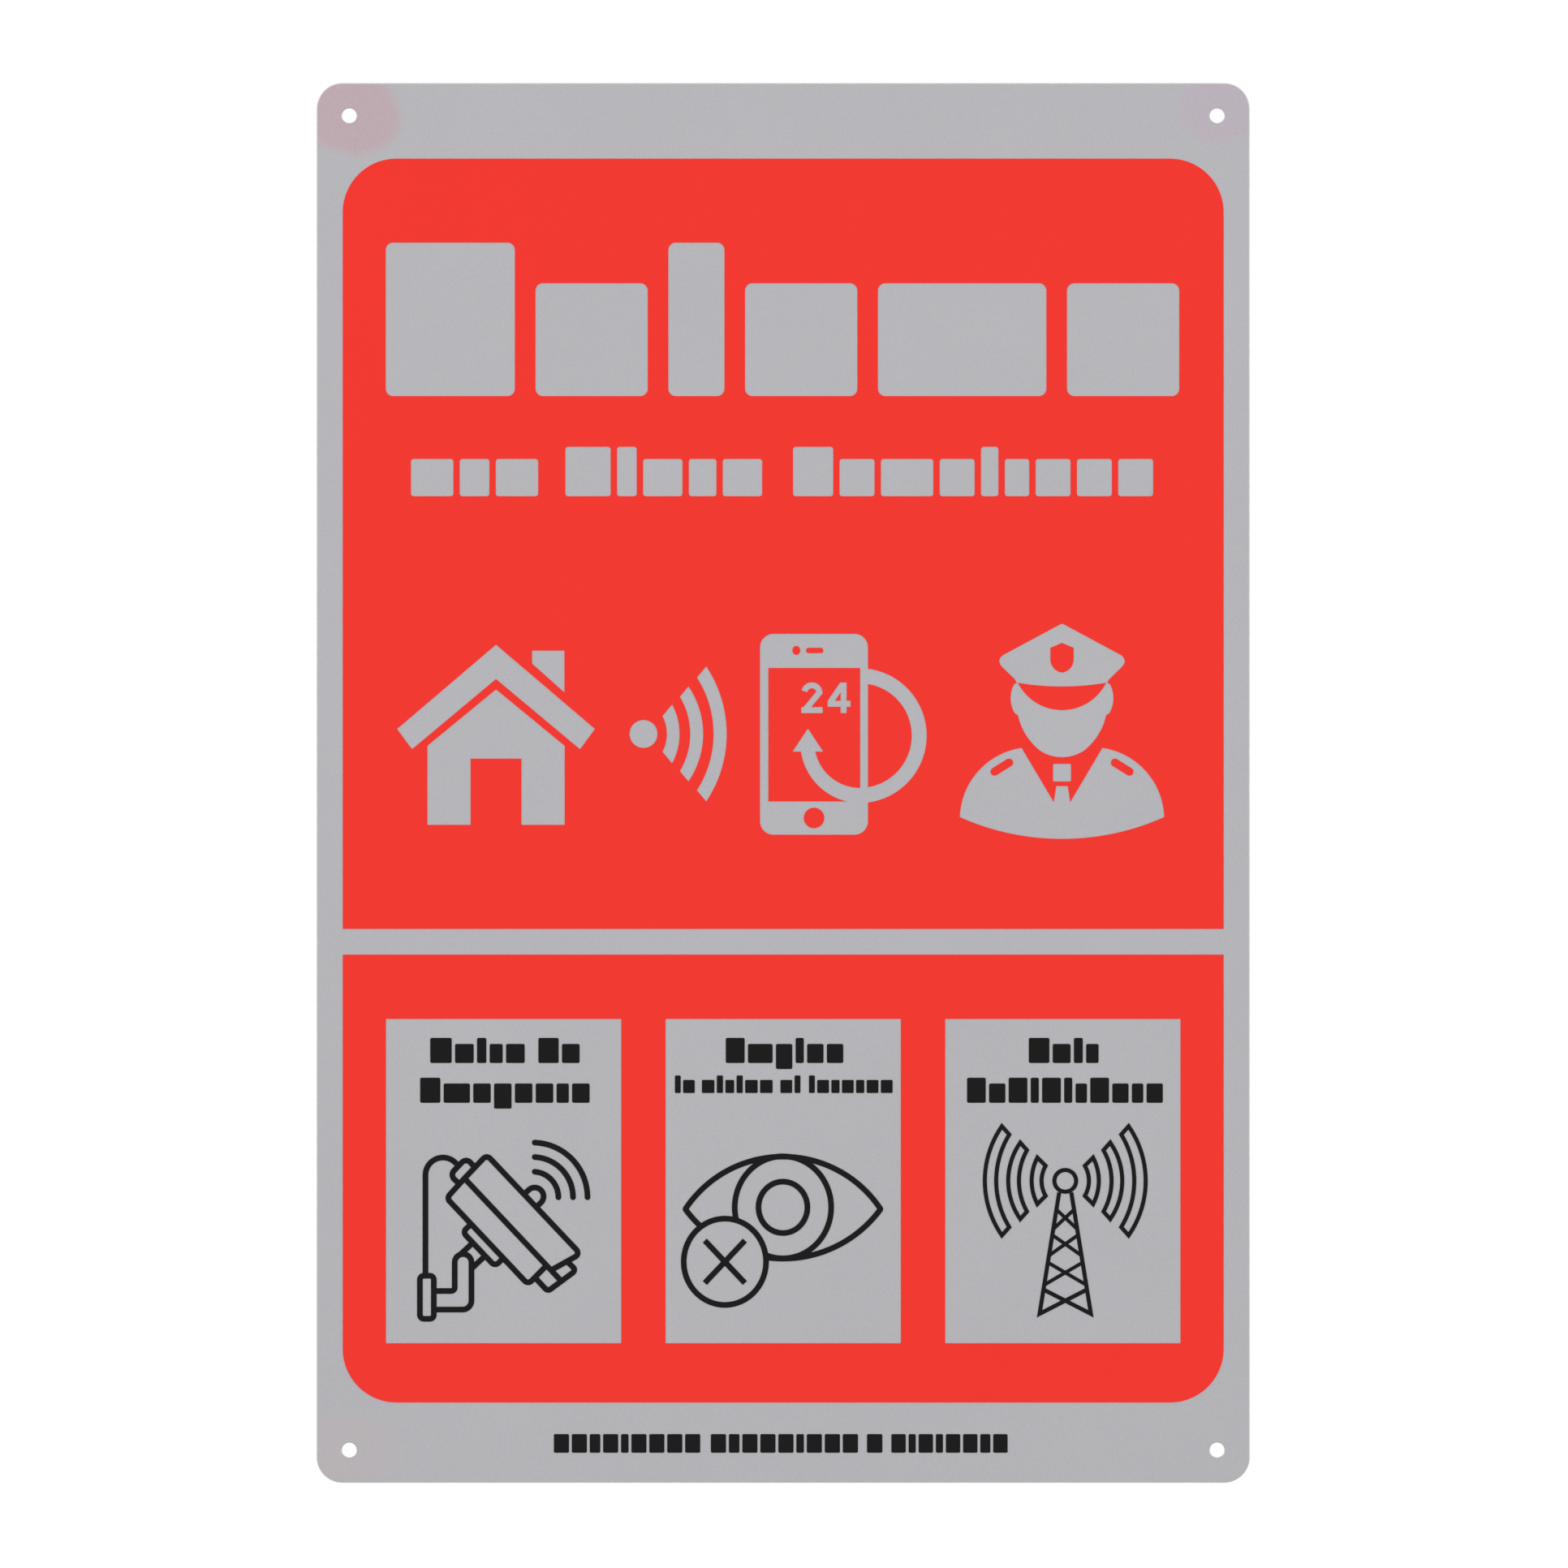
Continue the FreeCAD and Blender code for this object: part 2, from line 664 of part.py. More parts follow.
def cut_windows(body):
    """Cut the row of windows: the first one, then its copies along the field."""
    outline = new_sketch(body, "window_outline")
    draw_rectangle(outline, WINDOW_LEFT, WINDOW_FOOT, WINDOW_WIDTH, WINDOW_HEIGHT)
    window = cut_through(body, outline, "window")
    row = body.newObject("PartDesign::LinearPattern", "window_row")
    row.Originals = [window]
    row.Direction = (outline, ["H_Axis"])
    row.Mode = "Spacing"
    row.setExpression("Offset", WINDOW_PITCH)
    row.setExpression("Occurrences", "sizes.window_count")
    body.Tip = row
    document.recompute()


def cut_house(body):
    """Cut out a house: its roof, its walls round a doorway, and its chimney."""
    sketch = new_sketch(body, "house_outlines", HOUSE_PLACE, ROW_LINE)
    roof = [
        Corner("0", "sizes.roof_peak"),
        Corner("sizes.roof_tip_reach", "sizes.roof_tip_height"),
        Corner("sizes.eave_reach", "sizes.eave_height"),
        Corner("0", "sizes.roof_under_peak"),
    ]
    walls = [
        Corner("0", "sizes.gable_peak"),
        Corner("sizes.wall_reach", "sizes.wall_top"),
        Corner("sizes.wall_reach", "-sizes.house_drop"),
        Corner("sizes.door_reach", "-sizes.house_drop"),
        Corner("sizes.door_reach", "sizes.door_top"),
    ]
    chimney_right = "(sizes.chimney_left + sizes.chimney_width)"
    chimney = [
        Corner("sizes.chimney_left", "sizes.chimney_top"),
        Corner(chimney_right, "sizes.chimney_top"),
        Corner(chimney_right, "sizes.chimney_right_foot"),
        Corner("sizes.chimney_left", "sizes.chimney_left_foot"),
    ]
    for loop in (both_sides(roof), both_sides(walls), chimney):
        draw_loop(sketch, loop)
    cut_through(body, sketch, "house")


def wave_band(wave, side=""):
    """The outline of a band of waves, to the right of its source or, with a minus, to its left."""
    inner, outer = f"sizes.{wave}_inner", f"sizes.{wave}_outer"
    inner_rise = f"({inner}_middle - {inner}_reach)"
    outer_rise = f"({outer}_middle - {outer}_reach)"
    against = "" if side else "-"
    return [
        Corner(f"{side}{inner}_reach", f"{inner}_height", f"{against}{inner_rise}"),
        Corner(f"{side}{outer}_reach", f"{outer}_height"),
        Corner(f"{side}{outer}_reach", f"-{outer}_height", f"{side}{outer_rise}"),
        Corner(f"{side}{inner}_reach", f"-{inner}_height"),
    ]


def cut_signal(body):
    """Cut out the signal that the house sends: a dot and three bands of waves."""
    sketch = new_sketch(body, "signal_outlines", SIGNAL_PLACE, f"{ROW_LINE} + sizes.signal_rise")
    draw_circle(sketch, "0", "0", "sizes.dot_radius")
    for wave in WAVES:
        draw_loop(sketch, wave_band(wave))
    cut_through(body, sketch, "signal")


def arrow_outline():
    """The telephone's arrow: out of its right side, round below and back up to a head."""
    start = "(sizes.phone_width - sizes.arrow_start_inset)"
    turn = "(sizes.phone_width - sizes.arrow_turn_inset)"
    neck = "sizes.arrow_neck_height"
    return [
        Corner(start, "sizes.arrow_start_top"),
        Corner(turn, "sizes.arrow_turn_foot", "sizes.arrow_outer_rise"),
        Corner("sizes.arrow_neck_left", neck, "sizes.arrow_neck_outer_rise"),
        Corner("sizes.arrow_head_left", neck),
        Corner("sizes.arrow_tip_place", f"{neck} + sizes.arrow_head_height"),
        Corner("sizes.arrow_head_left + sizes.arrow_head_width", neck),
        Corner("sizes.arrow_neck_left + sizes.arrow_neck_width", neck),
        Corner(
            turn,
            "sizes.arrow_turn_foot + sizes.arrow_turn_width",
            "-sizes.arrow_neck_inner_rise",
        ),
        Corner(
            start,
            "sizes.arrow_start_top - sizes.arrow_start_width",
            "-sizes.arrow_inner_rise",
        ),
    ]


def cut_telephone(body):
    """Cut out a telephone's case, which leaves its screen, lens, slot and button, and its arrow."""
    place = ("-sizes.phone_left_reach", f"{ROW_LINE} - sizes.phone_drop")
    case = new_sketch(body, "telephone_outlines", *place)
    first = draw_rectangle(case, "0", "0", "sizes.phone_width", "sizes.phone_height")
    for side in range(4):
        round_corner(case, first + side, "sizes.phone_corner_radius")
    draw_rectangle(
        case,
        "sizes.screen_left_margin",
        "sizes.screen_foot_margin",
        "(sizes.phone_width - sizes.screen_left_margin - sizes.screen_right_margin)",
        "(sizes.phone_height - sizes.screen_foot_margin - sizes.screen_top_margin)",
    )
    draw_circle(
        case, "sizes.lens_place", "sizes.phone_height - sizes.lens_drop", "sizes.lens_radius"
    )
    slot_middle = "sizes.phone_height - sizes.slot_drop"
    slot_ends = [
        ("sizes.slot_left", slot_middle),
        ("sizes.slot_left + sizes.slot_length", slot_middle),
    ]
    draw_slot(case, *slot_ends, "sizes.slot_width")
    draw_circle(case, "sizes.phone_width / 2", "sizes.button_rise", "sizes.button_radius")
    cut_through(body, case, "telephone")

    arrow = new_sketch(body, "arrow_outline", *place)
    draw_loop(arrow, arrow_outline())
    cut_through(body, arrow, "arrow")


def cut_guard(body):
    """Cut out a guard's cap round its badge, the faceless head, the coat, its tie and its knot."""
    place = (GUARD_PLACE, ROW_LINE)
    cap = new_sketch(body, "cap_outlines", *place)
    crown = [
        Corner("sizes.brim_reach", "sizes.brim_height", "-sizes.brim_sag"),
        Corner("sizes.cap_foot_reach", "sizes.cap_foot_height"),
        Corner("sizes.cap_side_reach", "sizes.cap_side_height", bend="sizes.cap_side_bend"),
        Corner("0", "sizes.cap_peak", bend="sizes.cap_peak_bend"),
    ]
    badge = [
        Corner("0", "sizes.badge_peak"),
        Corner("sizes.badge_dip_reach", "sizes.badge_dip_height", bend="sizes.badge_dip_bend"),
        Corner("sizes.badge_reach", "sizes.badge_shoulder"),
        Corner("sizes.badge_reach", "sizes.badge_side_foot"),
        Corner("0", "sizes.badge_foot", "sizes.badge_side_rise"),
    ]
    draw_loop(cap, both_sides(crown))
    draw_loop(cap, both_sides(badge))
    cut_through(body, cap, "cap")

    head = new_sketch(body, "head_outline", *place)
    temple_height = "sizes.brim_height + sizes.temple_overlap"
    face = [
        Corner("sizes.brim_reach - sizes.temple_inset", temple_height, "-sizes.visor_sag"),
        Corner("sizes.ear_reach", "sizes.ear_height"),
        Corner("sizes.lobe_reach", "sizes.lobe_height", "sizes.ear_rise"),
        Corner("sizes.jaw_reach", "sizes.jaw_height"),
        Corner("sizes.chin_reach", "sizes.chin_height", "sizes.jaw_rise"),
    ]
    draw_loop(head, both_sides(face, "sizes.chin_rise"))
    cut_through(body, head, "head")

    coat = new_sketch(body, "coat_outlines", *place)
    shoulders = [
        Corner("sizes.tie_reach", "-sizes.tie_drop"),
        Corner("sizes.neckline_reach", "-sizes.neckline_drop"),
        Corner("sizes.collar_reach", "sizes.collar_height"),
        Corner("sizes.cuff_reach", "-sizes.cuff_drop", "sizes.shoulder_rise"),
    ]
    draw_loop(coat, both_sides(shoulders, "sizes.hem_sag"))
    for side in ("", "-"):
        inner = (f"{side}sizes.tab_inner_reach", "sizes.tab_inner_height")
        outer = (f"{side}sizes.tab_outer_reach", "sizes.tab_outer_height")
        draw_slot(coat, inner, outer, "sizes.tab_width")
    first = draw_rectangle(
        coat, "-sizes.knot_width / 2", "sizes.knot_rise", "sizes.knot_width", "sizes.knot_height"
    )
    for side in range(4):
        round_corner(coat, first + side, "sizes.knot_bend")
    cut_through(body, coat, "coat")


def plate_sketch(name, place_x, place_z, turn="0"):
    """Start a sketch on the plate's front, at a place and turned counter-clockwise by degrees."""
    sketch = document.addObject("Sketcher::SketchObject", name)
    base = f"vector({place_x}; -sizes.plate_thickness; {place_z})"
    sketch.setExpression("Placement", f"placement({base}; rotationx(90) * rotationz({turn}))")
    return sketch


def raise_film(source, name):
    """Give a flat shape on the plate's front the film's thickness."""
    film = document.addObject("Part::Extrusion", name)
    film.Base = source
    film.DirMode = "Custom"
    film.Dir = FreeCAD.Vector(0, -1, 0)
    film.Solid = True
    film.FaceMakerClass = "Part::FaceMakerBullseye"
    film.setExpression("LengthFwd", "sizes.film_thickness")
    return film


def stroke(name, frame, corners, width, closed=False, join="Arc"):
    """Draw a line of even width in a frame (x, z, turn), half to each side of its corners' way."""
    path = plate_sketch(f"{name}_path", *frame)
    if len(corners) == 2 and not corners[1].rise:
        draw_slot(path, corners[0][:2], corners[1][:2], width)
        return [raise_film(path, f"{name}_film")]
    draw_line(path, corners, closed)
    films = []
    for side in ("", "-") if closed else ("",):
        band = document.addObject("Part::Offset2D", f"{name}_band")
        band.Source = path
        band.Mode = "Pipe"
        band.Join = join
        band.Fill = True
        band.setExpression("Value", f"{side}{width} / 2")
        films.append(raise_film(band, f"{name}_film"))
    return films


def oval_ring(name, frame, lift, width, height, line):
    """Draw an oval ring in a frame, from its outer width and height and its line's width."""
    outline = plate_sketch(f"{name}_outline", *frame)
    draw_oval(outline, "0", lift, width, height)
    draw_oval(outline, "0", lift, f"{width} - 2 * {line}", f"{height} - 2 * {line}")
    return raise_film(outline, f"{name}_film")


def join_films(label, films):
    """Join films that cross each other into one piece."""
    whole = document.addObject("Part::MultiFuse", label)
    whole.Shapes = films
    whole.Refine = True
    whole.Label = label
    document.recompute()
    return whole


def camera_housing():
    """The films of the camera's housing, its snout, gland, lamp, shoe and neck, along its tilt."""
    frame = (
        f"{FIRST_WINDOW} - sizes.camera_offset",
        f"{WINDOW_FOOT} + sizes.camera_rise",
        "-sizes.camera_tilt",
    )
    bend = "sizes.housing_bend"
    knee = Corner("sizes.housing_knee", "sizes.housing_split")
    housing = [
        Corner("0", "0", bend=bend),
        Corner("0", "sizes.housing_width", bend=bend),
        Corner("sizes.housing_top_length", "sizes.housing_width", bend=bend),
        knee,
        Corner("sizes.housing_foot_length", "0", bend=bend),
    ]
    snout_end = "sizes.housing_knee + sizes.snout_foot_reach"
    snout_top_end = "sizes.housing_top_length + sizes.snout_top_reach"
    snout = [
        Corner("sizes.housing_knee", "sizes.snout_foot"),
        Corner(snout_end, "sizes.snout_foot", bend="sizes.snout_bend"),
        Corner(snout_top_end, "sizes.snout_top", bend="sizes.snout_bend"),
        Corner("sizes.housing_top_length - 0.5 * sizes.line_width", "sizes.snout_top + 0.6"),
    ]
    snout_split = [
        Corner("sizes.housing_knee", "sizes.snout_split"),
        Corner(snout_end, "sizes.snout_split"),
    ]
    gland_top = "sizes.gland_foot + sizes.gland_height"
    gland = [
        Corner("0", gland_top),
        Corner("-sizes.gland_reach", gland_top, bend="sizes.gland_bend"),
        Corner("-sizes.gland_reach", "sizes.gland_foot", bend="sizes.gland_bend"),
        Corner("0", "sizes.gland_foot"),
    ]
    lamp_height = "sizes.housing_width + sizes.lamp_lift"
    lamp = [
        Corner("sizes.lamp_place", lamp_height),
        Corner("sizes.lamp_place + sizes.lamp_width", lamp_height, "sizes.lamp_rise"),
    ]
    shoe_end = "sizes.shoe_start + sizes.shoe_length"
    shoe = [
        Corner("sizes.shoe_start", "0"),
        Corner("sizes.shoe_start", "-sizes.shoe_depth", bend="sizes.shoe_bend"),
        Corner(shoe_end, "-sizes.shoe_depth", bend="sizes.shoe_bend"),
        Corner(shoe_end, "0"),
    ]
    films = stroke("housing", frame, housing, "sizes.line_width", closed=True)
    lines = {
        "housing_split": [Corner("0", "sizes.housing_split"), knee],
        "snout": snout,
        "snout_split": snout_split,
        "gland": gland,
        "lamp": lamp,
        "shoe": shoe,
    }
    neck_end = "-sizes.shoe_depth - sizes.neck_length"
    for side, aside in (("near", "0"), ("far", "sizes.neck_width")):
        place = f"sizes.neck_start + {aside}"
        lines[f"{side}_neck"] = [Corner(place, "-sizes.shoe_depth"), Corner(place, neck_end)]
    for name, corners in lines.items():
        films += stroke(name, frame, corners, "sizes.line_width")
    return films


def camera_arm():
    """The films of the wall plate, the bent arm and the cable that runs up to the gland."""
    frame = (f"{FIRST_WINDOW} - sizes.wall_plate_offset", WINDOW_FOOT)
    bend = "sizes.wall_plate_bend"
    top = "sizes.wall_plate_foot + sizes.wall_plate_height"
    wall_plate = [
        Corner("0", "sizes.wall_plate_foot", bend=bend),
        Corner("sizes.wall_plate_width", "sizes.wall_plate_foot", bend=bend),
        Corner("sizes.wall_plate_width", top, bend=bend),
        Corner("0", top, bend=bend),
    ]
    inner = "sizes.wall_plate_width + sizes.arm_inner_reach"
    outer = f"{inner} + sizes.arm_width"
    arm = [
        Corner("sizes.wall_plate_width", "sizes.arm_inner_foot"),
        Corner(inner, "sizes.arm_inner_foot", bend="sizes.arm_inner_bend"),
        Corner(inner, "sizes.arm_top", bend="sizes.arm_top_bend"),
        Corner(outer, "sizes.arm_top", bend="sizes.arm_top_bend"),
        Corner(outer, "sizes.arm_foot", bend="sizes.arm_foot_bend"),
        Corner("sizes.wall_plate_width", "sizes.arm_foot"),
    ]
    cable_place = "sizes.wall_plate_width / 2"
    cable = [
        Corner(cable_place, top),
        Corner(cable_place, "sizes.cable_bend_start"),
        Corner(
            f"{cable_place} + sizes.cable_end_reach", "sizes.cable_end_height", "sizes.cable_rise"
        ),
    ]
    films = stroke("wall_plate", frame, wall_plate, "sizes.line_width", closed=True)
    films += stroke("arm", frame, arm, "sizes.line_width")
    films += stroke("cable", frame, cable, "sizes.line_width")
    return films


def lamp_wave(name):
    """The films of one of the lamp's waves: a quarter of a circle, from its right up to its top."""
    frame = (f"{FIRST_WINDOW} + sizes.waves_offset", f"{WINDOW_FOOT} + sizes.waves_rise")
    radius = f"sizes.{name}_radius"
    height = f"sqrt({radius}^2 - sizes.waves_lead^2)"
    way = f"sqrt(({radius} - sizes.waves_lead)^2 + {height}^2)"
    rise = f"(sqrt({radius}^2 - {way}^2 / 4) - {radius})"
    quarter = [Corner(radius, "0"), Corner("sizes.waves_lead", height, rise)]
    return stroke(name, frame, quarter, "sizes.line_width")


def make_camera_mark():
    """The camera on its wall arm, with a lamp that sends out three waves."""
    films = camera_housing() + camera_arm()
    for name in LAMP_WAVES:
        films += lamp_wave(name)
    return join_films("camera_mark", films)


def make_eye_mark():
    """The eye, cleared under the ring that holds a cross over its corner."""
    place = (f"{SECOND_WINDOW} - sizes.eye_offset", f"{WINDOW_FOOT} + sizes.eye_rise")
    line = "sizes.line_width"
    films = []
    for name, rise in (("upper_lid", "sizes.upper_lid_rise"), ("lower_lid", "-sizes.lower_lid_rise")):
        lid = [Corner(f"-{EYE_REACH}", "0"), Corner(EYE_REACH, "0", rise)]
        films += stroke(name, place, lid, line)
    for name in ("iris", "pupil"):
        width, height = f"sizes.{name}_width", f"sizes.{name}_height"
        films.append(oval_ring(name, place, "sizes.iris_lift", width, height, line))
    eye = join_films("eye_lines", films)

    left = f"{place[0]} - ({EYE_REACH} - sizes.cross_inset)"
    cross_place = (left, f"{place[1]} - sizes.cross_drop")
    width, height = "sizes.cross_ring_width", "sizes.cross_ring_height"
    clearing_outline = plate_sketch("clearing_outline", *cross_place)
    draw_oval(clearing_outline, "0", "0", f"{width} - {line}", f"{height} - {line}")
    cleared = document.addObject("Part::Cut", "cleared_eye")
    cleared.Base = eye
    cleared.Tool = raise_film(clearing_outline, "clearing")
    badge = [cleared, oval_ring("cross_ring", cross_place, "0", width, height, line)]
    for name, turn in (("rising_bar", "sizes.cross_angle"), ("falling_bar", "-sizes.cross_angle")):
        bar = plate_sketch(f"{name}_outline", *cross_place, turn)
        length = "sizes.cross_length"
        draw_rectangle(bar, f"-{length} / 2", f"-{line} / 2", length, line)
        badge.append(raise_film(bar, name))
    return join_films("eye_mark", badge)


def leg_reach(drop):
    """How far a leg of the mast stands from its middle, as an expression of the drop there."""
    spread = "(sizes.leg_foot_reach - sizes.leg_top_reach)"
    fall = "(sizes.leg_foot_drop - sizes.leg_top_drop)"
    return f"(sizes.leg_top_reach + {spread} * (({drop}) - sizes.leg_top_drop) / {fall})"


def make_mast_mark():
    """The mast: a ball on two legs with crossed braces, and three bands of waves each side."""
    place = (f"{THIRD_WINDOW} + sizes.mast_offset", f"{WINDOW_FOOT} + sizes.mast_rise")
    line = "sizes.mast_line_width"
    ball = plate_sketch("ball_outline", *place)
    draw_circle(ball, "0", "0", "sizes.ball_radius")
    draw_circle(ball, "0", "0", f"sizes.ball_radius - {line}")
    films = [raise_film(ball, "ball")]
    for side, far_side in (("", "-"), ("-", "")):
        leg = [
            Corner(f"{side}sizes.leg_top_reach", "-sizes.leg_top_drop"),
            Corner(f"{side}sizes.leg_foot_reach", "-sizes.leg_foot_drop"),
            Corner(f"{far_side}{leg_reach('sizes.foot_brace_drop')}", "-sizes.foot_brace_drop"),
        ]
        films += stroke("leg", place, leg, line)
        for name in BRACES:
            top, foot = f"sizes.{name}_drop", f"(sizes.{name}_drop + sizes.{name}_height)"
            brace = [
                Corner(f"{far_side}{leg_reach(top)}", f"-{top}"),
                Corner(f"{side}{leg_reach(foot)}", f"-{foot}"),
            ]
            films += stroke(name, place, brace, "sizes.brace_width")
        for name in BANDS:
            band = wave_band(name, side)
            films += stroke(name, place, band, line, closed=True, join="Intersection")
    return join_films("mast_mark", films)


def check_document(bodies):
    """Stop if any object failed, or if a piece is not made of valid solids."""
    for item in document.Objects:
        if "Invalid" in item.State or "Error" in item.State:
            raise RuntimeError(f"{item.Label} failed: {item.State}")
    for body in bodies:
        shape = body.Shape
        if shape.isNull() or not shape.isValid() or not shape.Solids:
            raise RuntimeError(f"{body.Label} is not made of valid solids")


make_sheet()
plate = make_plate()
upper_field = make_field("red_field_upper", UPPER_FOOT, UPPER_HEIGHT, 1)
cut_house(upper_field)
cut_signal(upper_field)
cut_telephone(upper_field)
cut_guard(upper_field)
lower_field = make_field("red_field_lower", LOWER_FOOT, "sizes.lower_field_height", -1)
cut_windows(lower_field)
marks = (make_camera_mark(), make_eye_mark(), make_mast_mark())
document.recompute()
pieces = (plate, upper_field, lower_field, *marks)
check_document(pieces)

os.makedirs("parts", exist_ok=True)
for piece in pieces:
    piece.Shape.exportStep(f"parts/{piece.Label}.step")
    print(piece.Label, len(piece.Shape.Solids), piece.Shape.BoundBox, round(piece.Shape.Volume, 3))
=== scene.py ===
"""Alarm warning sign: how the flat wall sign looks.

A sheet of silver-lacquered aluminium carries two fields of red film. Pictograms are cut out of the
upper field, so the sheet shows through them, and black line drawings lie on the sheet in the three
windows of the lower field. Rows of plain blocks make up the headings, the captions and the foot
line.

Every outline is drawn in the plane of the sign's face, in millimetres: u runs to the right and v
runs up from the middle of the sheet. Finished pieces are in metres, in the frame of the solids.
"""

import logging
import math
from dataclasses import dataclass
from enum import Enum

import bmesh
import bpy
from mathutils import Matrix, Vector


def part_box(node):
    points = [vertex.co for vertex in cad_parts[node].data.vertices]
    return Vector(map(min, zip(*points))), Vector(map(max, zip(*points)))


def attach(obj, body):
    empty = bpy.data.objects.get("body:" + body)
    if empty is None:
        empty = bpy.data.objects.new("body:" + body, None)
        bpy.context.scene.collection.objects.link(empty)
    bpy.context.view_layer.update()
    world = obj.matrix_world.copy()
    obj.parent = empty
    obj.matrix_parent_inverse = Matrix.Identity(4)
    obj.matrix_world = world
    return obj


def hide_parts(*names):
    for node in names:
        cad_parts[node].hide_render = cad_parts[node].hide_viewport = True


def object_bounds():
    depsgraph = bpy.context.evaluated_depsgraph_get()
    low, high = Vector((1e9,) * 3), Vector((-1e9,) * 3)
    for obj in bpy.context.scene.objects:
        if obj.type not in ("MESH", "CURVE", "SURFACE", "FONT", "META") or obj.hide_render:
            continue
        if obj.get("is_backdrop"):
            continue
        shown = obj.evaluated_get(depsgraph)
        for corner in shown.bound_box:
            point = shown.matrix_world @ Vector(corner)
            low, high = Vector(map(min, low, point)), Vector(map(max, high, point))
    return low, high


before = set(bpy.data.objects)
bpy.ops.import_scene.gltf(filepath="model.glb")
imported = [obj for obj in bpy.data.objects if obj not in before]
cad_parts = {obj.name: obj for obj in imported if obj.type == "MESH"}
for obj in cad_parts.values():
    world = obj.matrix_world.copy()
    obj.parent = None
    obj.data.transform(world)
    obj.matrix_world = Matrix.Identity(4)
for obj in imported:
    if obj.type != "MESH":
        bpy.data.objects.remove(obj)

log = logging.getLogger("alarm_warning_sign")

Point = tuple[float, float]
Solid = bpy.types.Object

MM = 0.001
ROOT = "root"

# A stencil is a slab through the plane of the face, this far to each side of it, in millimetres.
STENCIL_HALF = 1.0
# How much further a cutting stencil reaches than the one that it cuts.
CUTTER_REACH = 1.5
# The most that a straight step may leave a true arc, in millimetres.
ARC_ERROR = 0.008
# Edges that turn by more than this stay sharp, in degrees.
SHARP_TURN = 32.0
# The share of a face's normal that points to the front or back where it counts as flat.
FLAT = 0.999
# Corners of a mesh that lie closer than this are one corner, in millimetres.
MERGE_REACH = 0.001
# Nearly all of what a noise texture gives lies between these.
NOISE_LOW = 0.3
NOISE_HIGH = 0.7


def linear(code: str) -> tuple[float, float, float, float]:
    """Turn an sRGB hex colour into linear light.

    Args:
        code: the colour as "#RRGGBB".

    Returns:
        Red, green, blue and an alpha of one, all linear.
    """
    channels = [int(code[place : place + 2], 16) / 255.0 for place in (1, 3, 5)]
    light = [c / 12.92 if c <= 0.04045 else ((c + 0.055) / 1.055) ** 2.4 for c in channels]
    return (light[0], light[1], light[2], 1.0)


def arc_steps(radius: float, angle: float) -> int:
    """Straight steps that an arc needs to stay within the arc error.

    Args:
        radius: the arc's radius in millimetres.
        angle: how far the arc turns, in radians.

    Returns:
        A number of steps, at least two.
    """
    step = 2.0 * math.acos(max(0.5, 1.0 - ARC_ERROR / radius))
    return max(2, math.ceil(abs(angle) / step))


class Join(Enum):
    """How one stencil meets others."""

    ADD = "UNION"
    CUT = "DIFFERENCE"


class Cap(Enum):
    """How the ends of a drawn line are finished."""

    BUTT = "butt"
    ROUND = "round"


def as_solid(mesh_source: bmesh.types.BMesh, name: str) -> Solid:
    """Turn a bmesh into an object of the scene, with its faces pointing outwards.

    Args:
        mesh_source: the bmesh, which is freed.
        name: the object's name.

    Returns:
        The new object, at the origin.
    """
    bmesh.ops.recalc_face_normals(mesh_source, faces=mesh_source.faces)
    mesh = bpy.data.meshes.new(name)
    mesh_source.to_mesh(mesh)
    mesh_source.free()
    solid = bpy.data.objects.new(name, mesh)
    bpy.context.scene.collection.objects.link(solid)
    return solid


def apply_modifiers(solid: Solid) -> None:
    """Make what an object's modifiers give its own mesh, and drop the modifiers.

    Args:
        solid: the object.
    """
    bpy.context.view_layer.update()
    graph = bpy.context.evaluated_depsgraph_get()
    mesh = bpy.data.meshes.new_from_object(solid.evaluated_get(graph))
    solid.modifiers.clear()
    solid.data = mesh


def combine(base: Solid, others: list[Solid], join: Join) -> Solid:
    """Add solids to a solid, or cut them from it, and use them up.

    Args:
        base: the solid that stays.
        others: the solids that go into it.
        join: whether they are added or cut.

    Returns:
        The base, with its new mesh.
    """
    tools = bpy.data.collections.new("tools")
    bpy.context.scene.collection.children.link(tools)
    reach = CUTTER_REACH if join is Join.CUT else 1.0
    for other in others:
        other.data.transform(Matrix.Diagonal((1.0, reach, 1.0, 1.0)))
        tools.objects.link(other)
    boolean = base.modifiers.new("join", "BOOLEAN")
    boolean.operation = join.value
    boolean.operand_type = "COLLECTION"
    boolean.collection = tools
    boolean.solver = "EXACT"
    apply_modifiers(base)
    for other in others:
        bpy.data.objects.remove(other)
    bpy.data.collections.remove(tools)
    return base


def turn(solid: Solid, degrees: float) -> Solid:
    """Turn a stencil clockwise about the origin, as seen from the front."""
    solid.data.transform(Matrix.Rotation(math.radians(degrees), 4, "Y"))
    return solid


def move(solid: Solid, u: float, v: float) -> Solid:
    """Move a stencil's mesh within the plane of the face, and give the stencil back."""
    solid.data.transform(Matrix.Translation((u, 0.0, v)))
    return solid


def push_back(mesh_source: bmesh.types.BMesh, grown: dict[str, list]) -> None:
    """Move what an extrusion made from a stencil's front to its back."""
    far = [part for part in grown["geom"] if isinstance(part, bmesh.types.BMVert)]
    bmesh.ops.translate(mesh_source, verts=far, vec=(0.0, 2.0 * STENCIL_HALF, 0.0))


